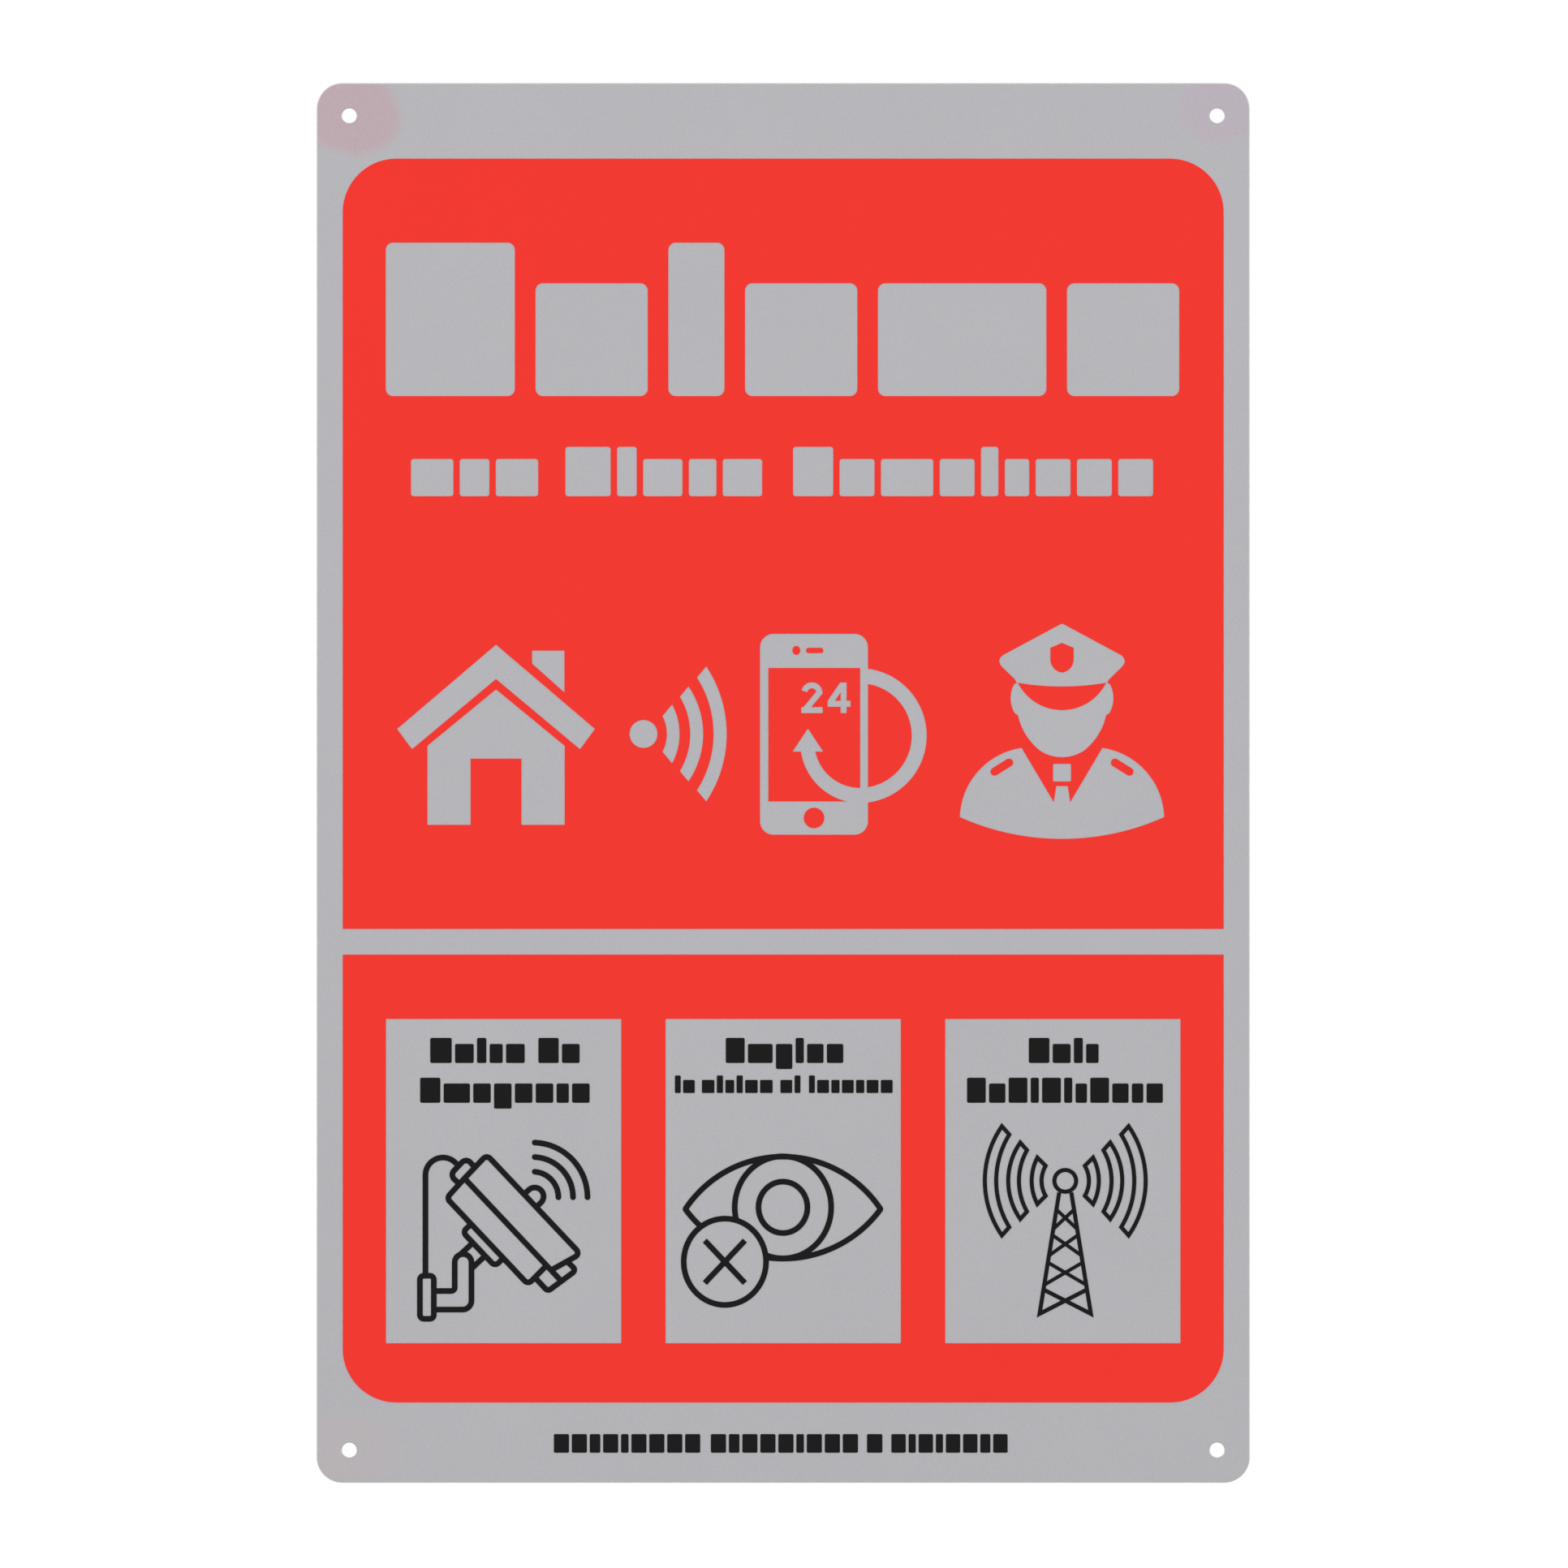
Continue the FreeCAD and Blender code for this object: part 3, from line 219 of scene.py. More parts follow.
class Pen:
    """Draws one outline or line in the plane of the face, in millimetres."""

    def __init__(self, u: float, v: float) -> None:
        """Put the pen down at a point.

        Args:
            u: the point, across.
            v: the point, up.
        """
        self.mesh = bmesh.new()
        self.first = self.mesh.verts.new((u, -STENCIL_HALF, v))
        self.last = self.first
        self.bends: list[tuple[bmesh.types.BMVert, float]] = []

    def line(self, u: float, v: float, bend: float = 0.0) -> "Pen":
        """Draw a straight line.

        Args:
            u: where it ends, across.
            v: where it ends, up.
            bend: the radius that rounds the corner there, or nought for a sharp one.

        Returns:
            The pen, so that moves can follow each other.
        """
        end = self.mesh.verts.new((u, -STENCIL_HALF, v))
        self.mesh.edges.new((self.last, end))
        self.last = end
        if bend:
            self.bends.append((end, bend))
        return self

    def arc(self, u: float, v: float, rise: float, bend: float = 0.0) -> "Pen":
        """Draw a circular arc.

        Args:
            u: where it ends, across.
            v: where it ends, up.
            rise: how far its middle stands off the straight line, positive to the pen's left.
            bend: the radius that rounds the corner at its end, or nought for a sharp one.

        Returns:
            The pen, so that moves can follow each other.
        """
        start = self.last.co.copy()
        end = Vector((u, -STENCIL_HALF, v))
        chord = end - start
        left = Vector((-chord.z, 0.0, chord.x)).normalized()
        height = abs(rise)
        radius = (chord.length**2 / 4.0 + height**2) / (2.0 * height)
        side = math.copysign(1.0, rise)
        centre = (start + end) / 2.0 + left * (rise - side * radius)
        sweep = -side * 4.0 * math.atan(2.0 * height / chord.length)
        self.swing(centre.x, centre.z, math.degrees(sweep))
        self.last.co = end
        if bend:
            self.bends.append((self.last, bend))
        return self

    def swing(self, u: float, v: float, degrees: float) -> "Pen":
        """Draw a circular arc round a centre.

        Args:
            u: the centre, across.
            v: the centre, up.
            degrees: how far to swing, positive counter-clockwise to the reader.

        Returns:
            The pen, so that moves can follow each other.
        """
        centre = Vector((u, -STENCIL_HALF, v))
        sweep = math.radians(degrees)
        made = bmesh.ops.spin(
            self.mesh,
            geom=[self.last],
            cent=centre,
            axis=(0.0, -1.0, 0.0),
            angle=sweep,
            steps=arc_steps((self.last.co - centre).length, sweep),
            use_duplicate=False,
        )
        self.last = next(g for g in made["geom_last"] if isinstance(g, bmesh.types.BMVert))
        return self

    def close(self, bend: float = 0.0) -> "Pen":
        """Join the last point to the first, with the first corner rounded by a radius.

        Args:
            bend: the radius, or nought for a sharp corner.

        Returns:
            The pen, so that a move can follow.
        """
        if (self.last.co - self.first.co).length < ARC_ERROR:
            bmesh.ops.pointmerge(
                self.mesh, verts=[self.first, self.last], merge_co=self.first.co
            )
        else:
            self.mesh.edges.new((self.last, self.first))
        if bend:
            self.bends.append((self.first, bend))
        return self

    def round_corners(self) -> None:
        """Round each corner that was drawn with a bend."""
        for corner, radius in self.bends:
            arms = [edge.other_vert(corner).co - corner.co for edge in corner.link_edges]
            opening = arms[0].angle(arms[1])
            bmesh.ops.bevel(
                self.mesh,
                geom=[corner],
                offset=radius / math.tan(opening / 2.0),
                offset_type="OFFSET",
                affect="VERTICES",
                segments=arc_steps(radius, math.pi - opening),
                profile=0.5,
                material=-1,
            )

    def fill(self) -> Solid:
        """Make a slab of the closed outline, and lift the pen.

        Returns:
            The slab, as thick as a stencil.
        """
        self.round_corners()
        bmesh.ops.edgeloop_fill(self.mesh, edges=self.mesh.edges)
        faces = list(self.mesh.faces)
        push_back(self.mesh, bmesh.ops.extrude_face_region(self.mesh, geom=faces))
        return as_solid(self.mesh, "slab")

    def stroke(self, width: float, cap: Cap = Cap.BUTT) -> Solid:
        """Make a slab of even width that follows the drawn line, and lift the pen.

        Args:
            width: the line's width in millimetres.
            cap: how the ends of an open line are finished.

        Returns:
            The slab, as thick as a stencil.
        """
        self.round_corners()
        ends = [vert.co.copy() for vert in self.mesh.verts if len(vert.link_edges) == 1]
        push_back(self.mesh, bmesh.ops.extrude_edge_only(self.mesh, edges=self.mesh.edges))
        line = as_solid(self.mesh, "stroke")
        wall = line.modifiers.new("width", "SOLIDIFY")
        wall.thickness = width
        wall.offset = 0.0
        wall.use_even_offset = True
        apply_modifiers(line)
        if cap is Cap.BUTT or not ends:
            return line
        return combine(line, [disc(end.x, end.z, width / 2.0) for end in ends], Join.ADD)


def disc(u: float, v: float, radius: float, height_share: float = 1.0) -> Solid:
    """Make a round or oval slab.

    Args:
        u: its centre, across.
        v: its centre, up.
        radius: half its width.
        height_share: its height over its width.

    Returns:
        The slab, as thick as a stencil.
    """
    mesh = bmesh.new()
    bmesh.ops.create_circle(
        mesh, cap_ends=True, radius=radius, segments=2 * arc_steps(radius, math.pi)
    )
    bmesh.ops.rotate(mesh, verts=mesh.verts, matrix=Matrix.Rotation(math.pi / 2.0, 3, "X"))
    bmesh.ops.scale(mesh, verts=mesh.verts, vec=(1.0, 1.0, height_share))
    bmesh.ops.translate(mesh, verts=mesh.verts, vec=(u, -STENCIL_HALF, v))
    push_back(mesh, bmesh.ops.extrude_face_region(mesh, geom=list(mesh.faces)))
    return as_solid(mesh, "disc")


def block(left: float, foot: float, right: float, top: float, bend: float = 0.0) -> Solid:
    """Make an upright rectangular slab with rounded corners.

    Args:
        left: its left side.
        foot: its lower side.
        right: its right side.
        top: its upper side.
        bend: the radius of its corners.

    Returns:
        The slab, as thick as a stencil.
    """
    pen = Pen(left, foot).line(right, foot, bend).line(right, top, bend).line(left, top, bend)
    return pen.close(bend).fill()


def ring(u: float, v: float, radius: float, width: float, height_share: float = 1.0) -> Solid:
    """Make a round or oval ring.

    Args:
        u: its centre, across.
        v: its centre, up.
        radius: half the width of its outer edge.
        width: how wide its line is.
        height_share: its height over its width.

    Returns:
        The slab, as thick as a stencil.
    """
    outer = disc(u, v, radius, height_share)
    inner_share = (radius * height_share - width) / (radius - width)
    inner = disc(u, v, radius - width, inner_share)
    return combine(outer, [inner], Join.CUT)


@dataclass(frozen=True)
class WaveBand:
    """One band of a signal, open to the left: its tips, and how far its middles stand out."""

    inner_tip: Point
    inner_middle: float
    outer_tip: Point
    outer_middle: float

    def outline(self, side: float = 1.0) -> Pen:
        """Draw the band's closed outline, to the right of its source or mirrored to the left.

        Args:
            side: 1 for the right of the source, -1 for the left.

        Returns:
            The pen, with the outline closed.
        """
        inner_u, inner_v = self.inner_tip
        outer_u, outer_v = self.outer_tip
        pen = Pen(side * inner_u, -inner_v)
        pen.line(side * outer_u, -outer_v)
        pen.arc(side * outer_u, outer_v, -side * (self.outer_middle - outer_u))
        pen.line(side * inner_u, inner_v)
        pen.arc(side * inner_u, -inner_v, side * (self.inner_middle - inner_u))
        return pen.close()


@dataclass(frozen=True)
class House:
    """A house with a chimney and a doorway, seen from its gable."""

    centre: Point = (-61.55, 0.0)
    roof_peak: float = 29.63
    roof_under_peak: float = 22.27
    roof_tip: Point = (21.2, 11.56)
    roof_under_tip: Point = (18.0, 7.22)
    gable_peak: float = 20.04
    wall_half_width: float = 14.72
    wall_top: float = 7.94
    foot: float = -8.99
    door_half_width: float = 5.45
    door_top: float = 5.2
    chimney_left: float = 7.72
    chimney_right: float = 14.67
    chimney_top: float = 28.35
    chimney_left_foot: float = 25.58
    chimney_right_foot: float = 19.38
    chimney_bend: float = 0.5

    def stencils(self) -> list[Solid]:
        """Draw the roof, the walls round the doorway, and the chimney.

        Returns:
            The three stencils.
        """
        tip_u, tip_v = self.roof_tip
        under_u, under_v = self.roof_under_tip
        roof = Pen(0.0, self.roof_peak).line(-tip_u, tip_v).line(-under_u, under_v)
        roof.line(0.0, self.roof_under_peak).line(under_u, under_v).line(tip_u, tip_v)
        walls = Pen(0.0, self.gable_peak).line(-self.wall_half_width, self.wall_top)
        walls.line(-self.wall_half_width, self.foot).line(-self.door_half_width, self.foot)
        walls.line(-self.door_half_width, self.door_top)
        walls.line(self.door_half_width, self.door_top).line(self.door_half_width, self.foot)
        walls.line(self.wall_half_width, self.foot).line(self.wall_half_width, self.wall_top)
        chimney = Pen(self.chimney_left, self.chimney_top)
        chimney.line(self.chimney_left, self.chimney_left_foot, self.chimney_bend)
        chimney.line(self.chimney_right, self.chimney_right_foot)
        chimney.line(self.chimney_right, self.chimney_top)
        return [move(pen.close().fill(), *self.centre) for pen in (roof, walls, chimney)]


@dataclass(frozen=True)
class HouseSignal:
    """The signal that leaves the house: a dot and three bands."""

    centre: Point = (-29.94, 10.5)
    dot_radius: float = 3.0
    bands: tuple[WaveBand, ...] = (
        WaveBand((4.06, 3.82), 5.0, (6.12, 6.32), 7.74),
        WaveBand((7.79, 7.98), 10.0, (9.64, 10.19), 12.79),
        WaveBand((11.45, 12.08), 15.0, (13.45, 14.49), 17.84),
    )

    def stencils(self) -> list[Solid]:
        """Draw the dot and the bands.

        Returns:
            A stencil for each.
        """
        made = [band.outline().fill() for band in self.bands]
        made.append(disc(0.0, 0.0, self.dot_radius))
        return [move(solid, *self.centre) for solid in made]


@dataclass(frozen=True)
class Telephone:
    """A hand-held telephone with an arrow that comes round and points back into its screen."""

    left: float = -4.98
    right: float = 18.18
    foot: float = -11.11
    top: float = 31.96
    corner: float = 2.9
    screen_left: float = -3.17
    screen_right: float = 16.49
    screen_foot: float = -3.97
    screen_top: float = 24.63
    lens: Point = (2.81, 28.4)
    lens_radius: float = 0.84
    lens_height_share: float = 1.15
    slot: tuple[float, float, float, float] = (4.91, 27.81, 8.59, 28.97)
    slot_bend: float = 0.552
    button: Point = (6.61, -7.51)
    button_radius: float = 2.2
    arrow_top_u: float = 17.3
    arrow_outer_v: float = 24.56
    arrow_inner_v: float = 21.32
    arrow_low_u: float = 16.31
    arrow_outer_low: float = -4.31
    arrow_inner_low: float = -1.08
    arrow_outer_rise: float = 13.96
    arrow_inner_rise: float = 10.73
    arrow_neck_v: float = 6.7
    arrow_neck_left: float = 3.8
    arrow_neck_right: float = 6.9
    arrow_neck_outer_rise: float = 3.04
    arrow_neck_inner_rise: float = 2.12
    arrow_head_left: float = 1.99
    arrow_head_right: float = 8.59
    arrow_tip: Point = (5.3, 11.67)

    def arrow(self) -> Solid:
        """Draw the arrow's band, from the phone's right side round into the screen, and its head.

        Returns:
            The arrow as one stencil.
        """
        band = Pen(self.arrow_top_u, self.arrow_outer_v)
        band.arc(self.arrow_low_u, self.arrow_outer_low, self.arrow_outer_rise)
        band.arc(self.arrow_neck_left, self.arrow_neck_v, self.arrow_neck_outer_rise)
        band.line(self.arrow_neck_right, self.arrow_neck_v)
        band.arc(self.arrow_low_u, self.arrow_inner_low, -self.arrow_neck_inner_rise)
        band.arc(self.arrow_top_u, self.arrow_inner_v, -self.arrow_inner_rise)
        head = Pen(self.arrow_head_left, self.arrow_neck_v)
        head.line(self.arrow_head_right, self.arrow_neck_v).line(*self.arrow_tip)
        return combine(band.close().fill(), [head.close().fill()], Join.ADD)

    def stencils(self) -> list[Solid]:
        """Draw the case round its screen, lens, slot and button, with the arrow.

        Returns:
            The one stencil that they make.
        """
        case = block(self.left, self.foot, self.right, self.top, self.corner)
        openings = [
            block(self.screen_left, self.screen_foot, self.screen_right, self.screen_top),
            block(*self.slot, self.slot_bend),
            disc(*self.lens, self.lens_radius, self.lens_height_share),
            disc(*self.button, self.button_radius),
        ]
        combine(case, openings, Join.CUT)
        return [combine(case, [self.arrow()], Join.ADD)]


@dataclass(frozen=True)
class PlainNumber:
    """The number on the telephone's screen: a two and a four, in strokes of one width."""

    width: float = 1.3
    foot: float = 14.96
    top: float = 21.53
    two_left: float = 3.85
    two_right: float = 8.47
    two_bow_start: Point = (4.55, 19.63)
    two_bow_end: Point = (7.78, 19.38)
    two_bow_rise: float = 1.42
    two_slope_foot: Point = (4.85, 15.86)
    four_left: float = 9.52
    four_right: float = 14.44
    four_bar_foot: float = 16.31
    four_post_left: float = 12.3
    four_slope_foot: Point = (10.0, 17.16)
    four_slope_top: Point = (12.75, 21.18)

    def stencils(self) -> list[Solid]:
        """Draw the two and the four.

        Returns:
            A stencil for each.
        """
        width = self.width
        two = Pen(*self.two_bow_start).arc(*self.two_bow_end, self.two_bow_rise)
        two.line(*self.two_slope_foot)
        two_foot = block(self.two_left, self.foot, self.two_right, self.foot + width)
        four = Pen(*self.four_slope_foot).line(*self.four_slope_top)
        bar_foot, post_left = self.four_bar_foot, self.four_post_left
        four_bar = block(self.four_left, bar_foot, self.four_right, bar_foot + width)
        four_post = block(post_left, self.foot, post_left + width, self.top)
        return [
            combine(two.stroke(width), [two_foot], Join.ADD),
            combine(four.stroke(width), [four_bar, four_post], Join.ADD),
        ]


@dataclass(frozen=True)
class Guard:
    """A guard's head and shoulders in a peaked cap, with no face."""

    centre: Point = (59.76, 0.0)
    cap_peak: float = 34.19
    cap_peak_bend: float = 0.8
    cap_side: Point = (14.44, 26.43)
    cap_side_bend: float = 1.6
    cap_foot: Point = (10.05, 22.15)
    cap_brim: Point = (9.72, 21.5)
    cap_brim_rise: float = 0.83
    badge_half_width: float = 2.49
    badge_peak: float = 30.03
    badge_dip: Point = (1.3, 29.45)
    badge_dip_bend: float = 0.6
    badge_corner: float = 28.98
    badge_side_foot: float = 26.6
    badge_foot: float = 23.64
    badge_foot_rise: float = -0.75
    visor_rise: float = 5.95
    temple: Point = (9.5, 21.55)
    ear_top: Point = (10.3, 21.15)
    ear_foot: Point = (10.15, 14.95)
    ear_rise: float = 0.8
    jaw_top: Point = (9.46, 14.5)
    jaw_foot: Point = (4.8, 6.98)
    jaw_rise: float = 0.76
    chin_rise: float = 1.48
    collar: Point = (8.65, 7.51)
    cuff: Point = (21.91, -7.32)
    shoulder_rise: float = 3.62
    hem_rise: float = 4.68
    neckline_foot: Point = (1.78, -4.1)
    tie_top: Point = (1.24, -0.68)
    knot_half_width: float = 1.93
    knot_foot: float = 0.31
    knot_top: float = 4.1
    knot_bend: float = 0.3
    tab_inner: Point = (11.35, 4.35)
    tab_outer: Point = (14.45, 2.42)
    tab_width: float = 1.75

    def cap(self) -> Solid:
        """Draw the cap, with its badge cut out.

        Returns:
            The cap's stencil.
        """
        side_u, side_v = self.cap_side
        foot_u, foot_v = self.cap_foot
        brim_u, brim_v = self.cap_brim
        crown = Pen(-brim_u, brim_v).arc(brim_u, brim_v, -self.cap_brim_rise)
        crown.line(foot_u, foot_v).line(side_u, side_v, self.cap_side_bend)
        crown.line(0.0, self.cap_peak, self.cap_peak_bend)
        crown.line(-side_u, side_v, self.cap_side_bend)
        crown.line(-foot_u, foot_v)
        dip_u, dip_v = self.badge_dip
        half, dip_bend, rise = self.badge_half_width, self.badge_dip_bend, self.badge_foot_rise
        badge = Pen(0.0, self.badge_peak).line(-dip_u, dip_v, dip_bend)
        badge.line(-half, self.badge_corner).line(-half, self.badge_side_foot)
        badge.arc(0.0, self.badge_foot, rise).arc(half, self.badge_side_foot, rise)
        badge.line(half, self.badge_corner).line(dip_u, dip_v, dip_bend)
        return combine(crown.close().fill(), [badge.close().fill()], Join.CUT)

    def head(self) -> Solid:
        """Draw the head below the visor, with its ears.

        Returns:
            The head's stencil.
        """
        temple_u, temple_v = self.temple
        jaw_u, jaw_v = self.jaw_foot
        head = Pen(-temple_u, temple_v).arc(temple_u, temple_v, -self.visor_rise)
        head.line(*self.ear_top).arc(*self.ear_foot, self.ear_rise).line(*self.jaw_top)
        head.arc(jaw_u, jaw_v, self.jaw_rise).arc(-jaw_u, jaw_v, self.chin_rise)
        head.arc(-self.jaw_top[0], self.jaw_top[1], self.jaw_rise)
        head.line(-self.ear_foot[0], self.ear_foot[1])
        head.arc(-self.ear_top[0], self.ear_top[1], self.ear_rise)
        return head.close().fill()

    def shoulders(self) -> Solid:
        """Draw the shoulders and the tie, with the two shoulder tabs cut out.

        Returns:
            The one stencil that they make.
        """
        collar_u, collar_v = self.collar
        cuff_u, cuff_v = self.cuff
        neck_u, neck_v = self.neckline_foot
        tie_u, tie_v = self.tie_top
        coat = Pen(collar_u, collar_v).arc(cuff_u, cuff_v, self.shoulder_rise)
        coat.arc(-cuff_u, cuff_v, self.hem_rise).arc(-collar_u, collar_v, self.shoulder_rise)
        coat.line(-neck_u, neck_v).line(-tie_u, tie_v).line(tie_u, tie_v).line(neck_u, neck_v)
        tabs = []
        for side in (-1.0, 1.0):
            tab = Pen(side * self.tab_inner[0], self.tab_inner[1])
            tab.line(side * self.tab_outer[0], self.tab_outer[1])
            tabs.append(tab.stroke(self.tab_width, Cap.ROUND))
        return combine(coat.close().fill(), tabs, Join.CUT)

    def stencils(self) -> list[Solid]:
        """Draw the capped head, the shoulders and the tie's knot.

        Returns:
            A stencil for each.
        """
        half = self.knot_half_width
        knot = block(-half, self.knot_foot, half, self.knot_top, self.knot_bend)
        bust = combine(self.cap(), [self.head()], Join.ADD)
        return [move(solid, *self.centre) for solid in (bust, self.shoulders(), knot)]


@dataclass(frozen=True)
class WatchingCamera:
    """A line drawing of a camera on a wall arm, with a lamp that sends out three waves.

    The housing and what stands on it are drawn level, from the housing's lower rear corner, and
    are turned together.
    """

    line_width: float = 1.23
    corner: Point = (-12.04, -3.62)
    tilt: float = 46.68
    housing_top: tuple[Point, ...] = ((-0.55, 5.55), (-0.93, 12.48), (28.27, 12.52), (26.5, 5.55))
    housing_foot: tuple[Point, ...] = ((-0.55, 5.55), (-0.1, -0.13), (25.33, -0.13), (25.1, 5.55))
    housing_bend: float = 1.0
    split: tuple[Point, Point] = ((-0.55, 5.55), (29.7, 5.55))
    snout: tuple[Point, ...] = ((25.2, 1.95), (29.3, 1.95), (30.2, 9.5), (27.35, 9.3))
    snout_bend: float = 0.8
    gland: tuple[Point, ...] = ((-0.7, 8.75), (-3.5, 8.9), (-3.22, 3.75), (-0.4, 3.95))
    gland_bend: float = 1.3
    lamp_left: float = 10.69
    lamp_right: float = 14.48
    lamp_centre: float = 13.86
    shoe: tuple[Point, ...] = ((7.55, -0.15), (7.55, -2.62), (17.62, -2.62), (17.62, -0.15))
    shoe_bend: float = 1.0
    neck: tuple[tuple[Point, Point], ...] = (
        ((10.72, -2.64), (10.72, -6.3)),
        ((14.57, -2.64), (14.57, -6.4)),
    )
    cable_foot: Point = (-16.74, -20.28)
    cable_bend_start: float = 1.3
    cable_end: Point = (-10.1, 3.7)
    cable_rise: float = 2.48
    waves_centre: Point = (6.26, -3.46)
    waves_lead: float = 0.42
    wave_radii: tuple[float, ...] = (5.49, 8.63, 11.73)
    arm_inner: Point = (-10.47, -23.55)
    arm_outer: Point = (-6.88, -27.53)
    arm_top: float = -15.64
    arm_inner_bend: float = 0.75
    arm_outer_bend: float = 1.9
    arm_top_bend: float = 1.78
    wall_plate: tuple[float, float, float, float] = (-17.93, -29.52, -14.95, -20.28)
    wall_plate_bend: float = 0.85

    def line_through(self, points: tuple[Point, ...], bend: float, closed: bool = False) -> Solid:
        """Draw one line through points, with its middle corners rounded.

        Args:
            points: where the line goes.
            bend: the radius of its corners.
            closed: whether it comes back to its start.

        Returns:
            The line as a stencil.
        """
        pen = Pen(*points[0])
        for point in points[1:-1]:
            pen.line(*point, bend)
        pen.line(*points[-1], bend if closed else 0.0)
        if closed:
            pen.close(bend)
        return pen.stroke(self.line_width)

    def body(self) -> Solid:
        """Draw the housing, its snout, gland, lamp, shoe and neck, and turn them.

        Returns:
            The one stencil that they make.
        """
        top = self.housing_top[1][1]
        lamp = Pen(self.lamp_left, top).line(self.lamp_left, self.lamp_centre)
        lamp.arc(self.lamp_right, self.lamp_centre, (self.lamp_right - self.lamp_left) / 2.0)
        lamp.line(self.lamp_right, top)
        lines = [
            self.line_through(self.housing_top, self.housing_bend),
            self.line_through(self.housing_foot, self.housing_bend),
            self.line_through(self.snout, self.snout_bend),
            self.line_through(self.gland, self.gland_bend),
            self.line_through(self.shoe, self.shoe_bend),
            *(self.line_through(side, 0.0) for side in self.neck),
            lamp.stroke(self.line_width),
        ]
        body = turn(combine(self.line_through(self.split, 0.0), lines, Join.ADD), self.tilt)
        return move(body, *self.corner)

    def arm(self) -> list[Solid]:
        """Draw the wall plate, the bent arm and the cable that runs up to the gland.

        Returns:
            A stencil for each.
        """
        left, foot, right, top = self.wall_plate
        corners = ((left, foot), (right, foot), (right, top), (left, top))
        inner_u, inner_v = self.arm_inner
        outer_u, outer_v = self.arm_outer
        pen = Pen(right, inner_v).line(inner_u, inner_v, self.arm_inner_bend)
        pen.line(inner_u, self.arm_top, self.arm_top_bend)
        pen.line(outer_u, self.arm_top, self.arm_top_bend)
        pen.line(outer_u, outer_v, self.arm_outer_bend).line(right, outer_v)
        cable = Pen(*self.cable_foot).line(self.cable_foot[0], self.cable_bend_start)
        cable.arc(*self.cable_end, self.cable_rise)
        plate = self.line_through(corners, self.wall_plate_bend, closed=True)
        return [plate, pen.stroke(self.line_width), cable.stroke(self.line_width)]

    def waves(self) -> list[Solid]:
        """Draw a quarter of a circle for each wave, from above the lamp round to its right.

        Returns:
            A stencil for each wave.
        """
        centre_u, centre_v = self.waves_centre
        made = []
        for radius in self.wave_radii:
            late = math.degrees(math.asin(self.waves_lead / radius))
            pen = Pen(centre_u + radius, centre_v).swing(centre_u, centre_v, 90.0 - late)
            made.append(pen.stroke(self.line_width, Cap.ROUND))
        return made

    def stencil(self) -> Solid:
        """Draw every line of the camera and join them."""
        return combine(self.body(), [*self.arm(), *self.waves()], Join.ADD)


@dataclass(frozen=True)
class CrossedEye:
    """A line drawing of an eye, with a cross in a small circle over its corner."""

    line_width: float = 1.23
    centre: Point = (-0.05, -6.0)
    half_width: float = 20.93
    corner_bend: float = 0.25
    upper_rise: float = 11.25
    lower_rise: float = 10.62
    iris_v: float = 0.38
    iris_radius: float = 10.95
    iris_height_share: float = 1.055
    pupil_radius: float = 5.86
    pupil_height_share: float = 1.045
    badge: Point = (-12.45, -11.29)
    badge_radius: float = 9.44
    badge_height_share: float = 1.045
    cross_half: Point = (4.3, 4.55)

    def cross(self) -> Solid:
        """Draw the two strokes of the cross.

        Returns:
            The cross as one stencil.
        """
        reach_u, reach_v = self.cross_half
        bars = [
            Pen(-reach_u, side * reach_v).line(reach_u, -side * reach_v).stroke(self.line_width)
            for side in (1.0, -1.0)
        ]
        return move(combine(bars[0], bars[1:], Join.ADD), *self.badge)

    def stencil(self) -> Solid:
        """Draw the lids, the iris and the pupil, clear the badge's place and add the badge.

        Returns:
            The whole drawing as one stencil.
        """
        width = self.line_width
        lids = Pen(-self.half_width, 0.0)
        lids.arc(self.half_width, 0.0, self.upper_rise, self.corner_bend)
        lids.arc(-self.half_width, 0.0, self.lower_rise).close(self.corner_bend)
        iris = ring(0.0, self.iris_v, self.iris_radius, width, self.iris_height_share)
        pupil = ring(0.0, self.iris_v, self.pupil_radius, width, self.pupil_height_share)
        eye = combine(lids.stroke(width), [iris, pupil], Join.ADD)
        clearing = disc(*self.badge, self.badge_radius - width / 2.0, self.badge_height_share)
        combine(eye, [clearing], Join.CUT)
        badge = ring(*self.badge, self.badge_radius, width, self.badge_height_share)
        combine(eye, [badge, self.cross()], Join.ADD)
        return move(eye, *self.centre)


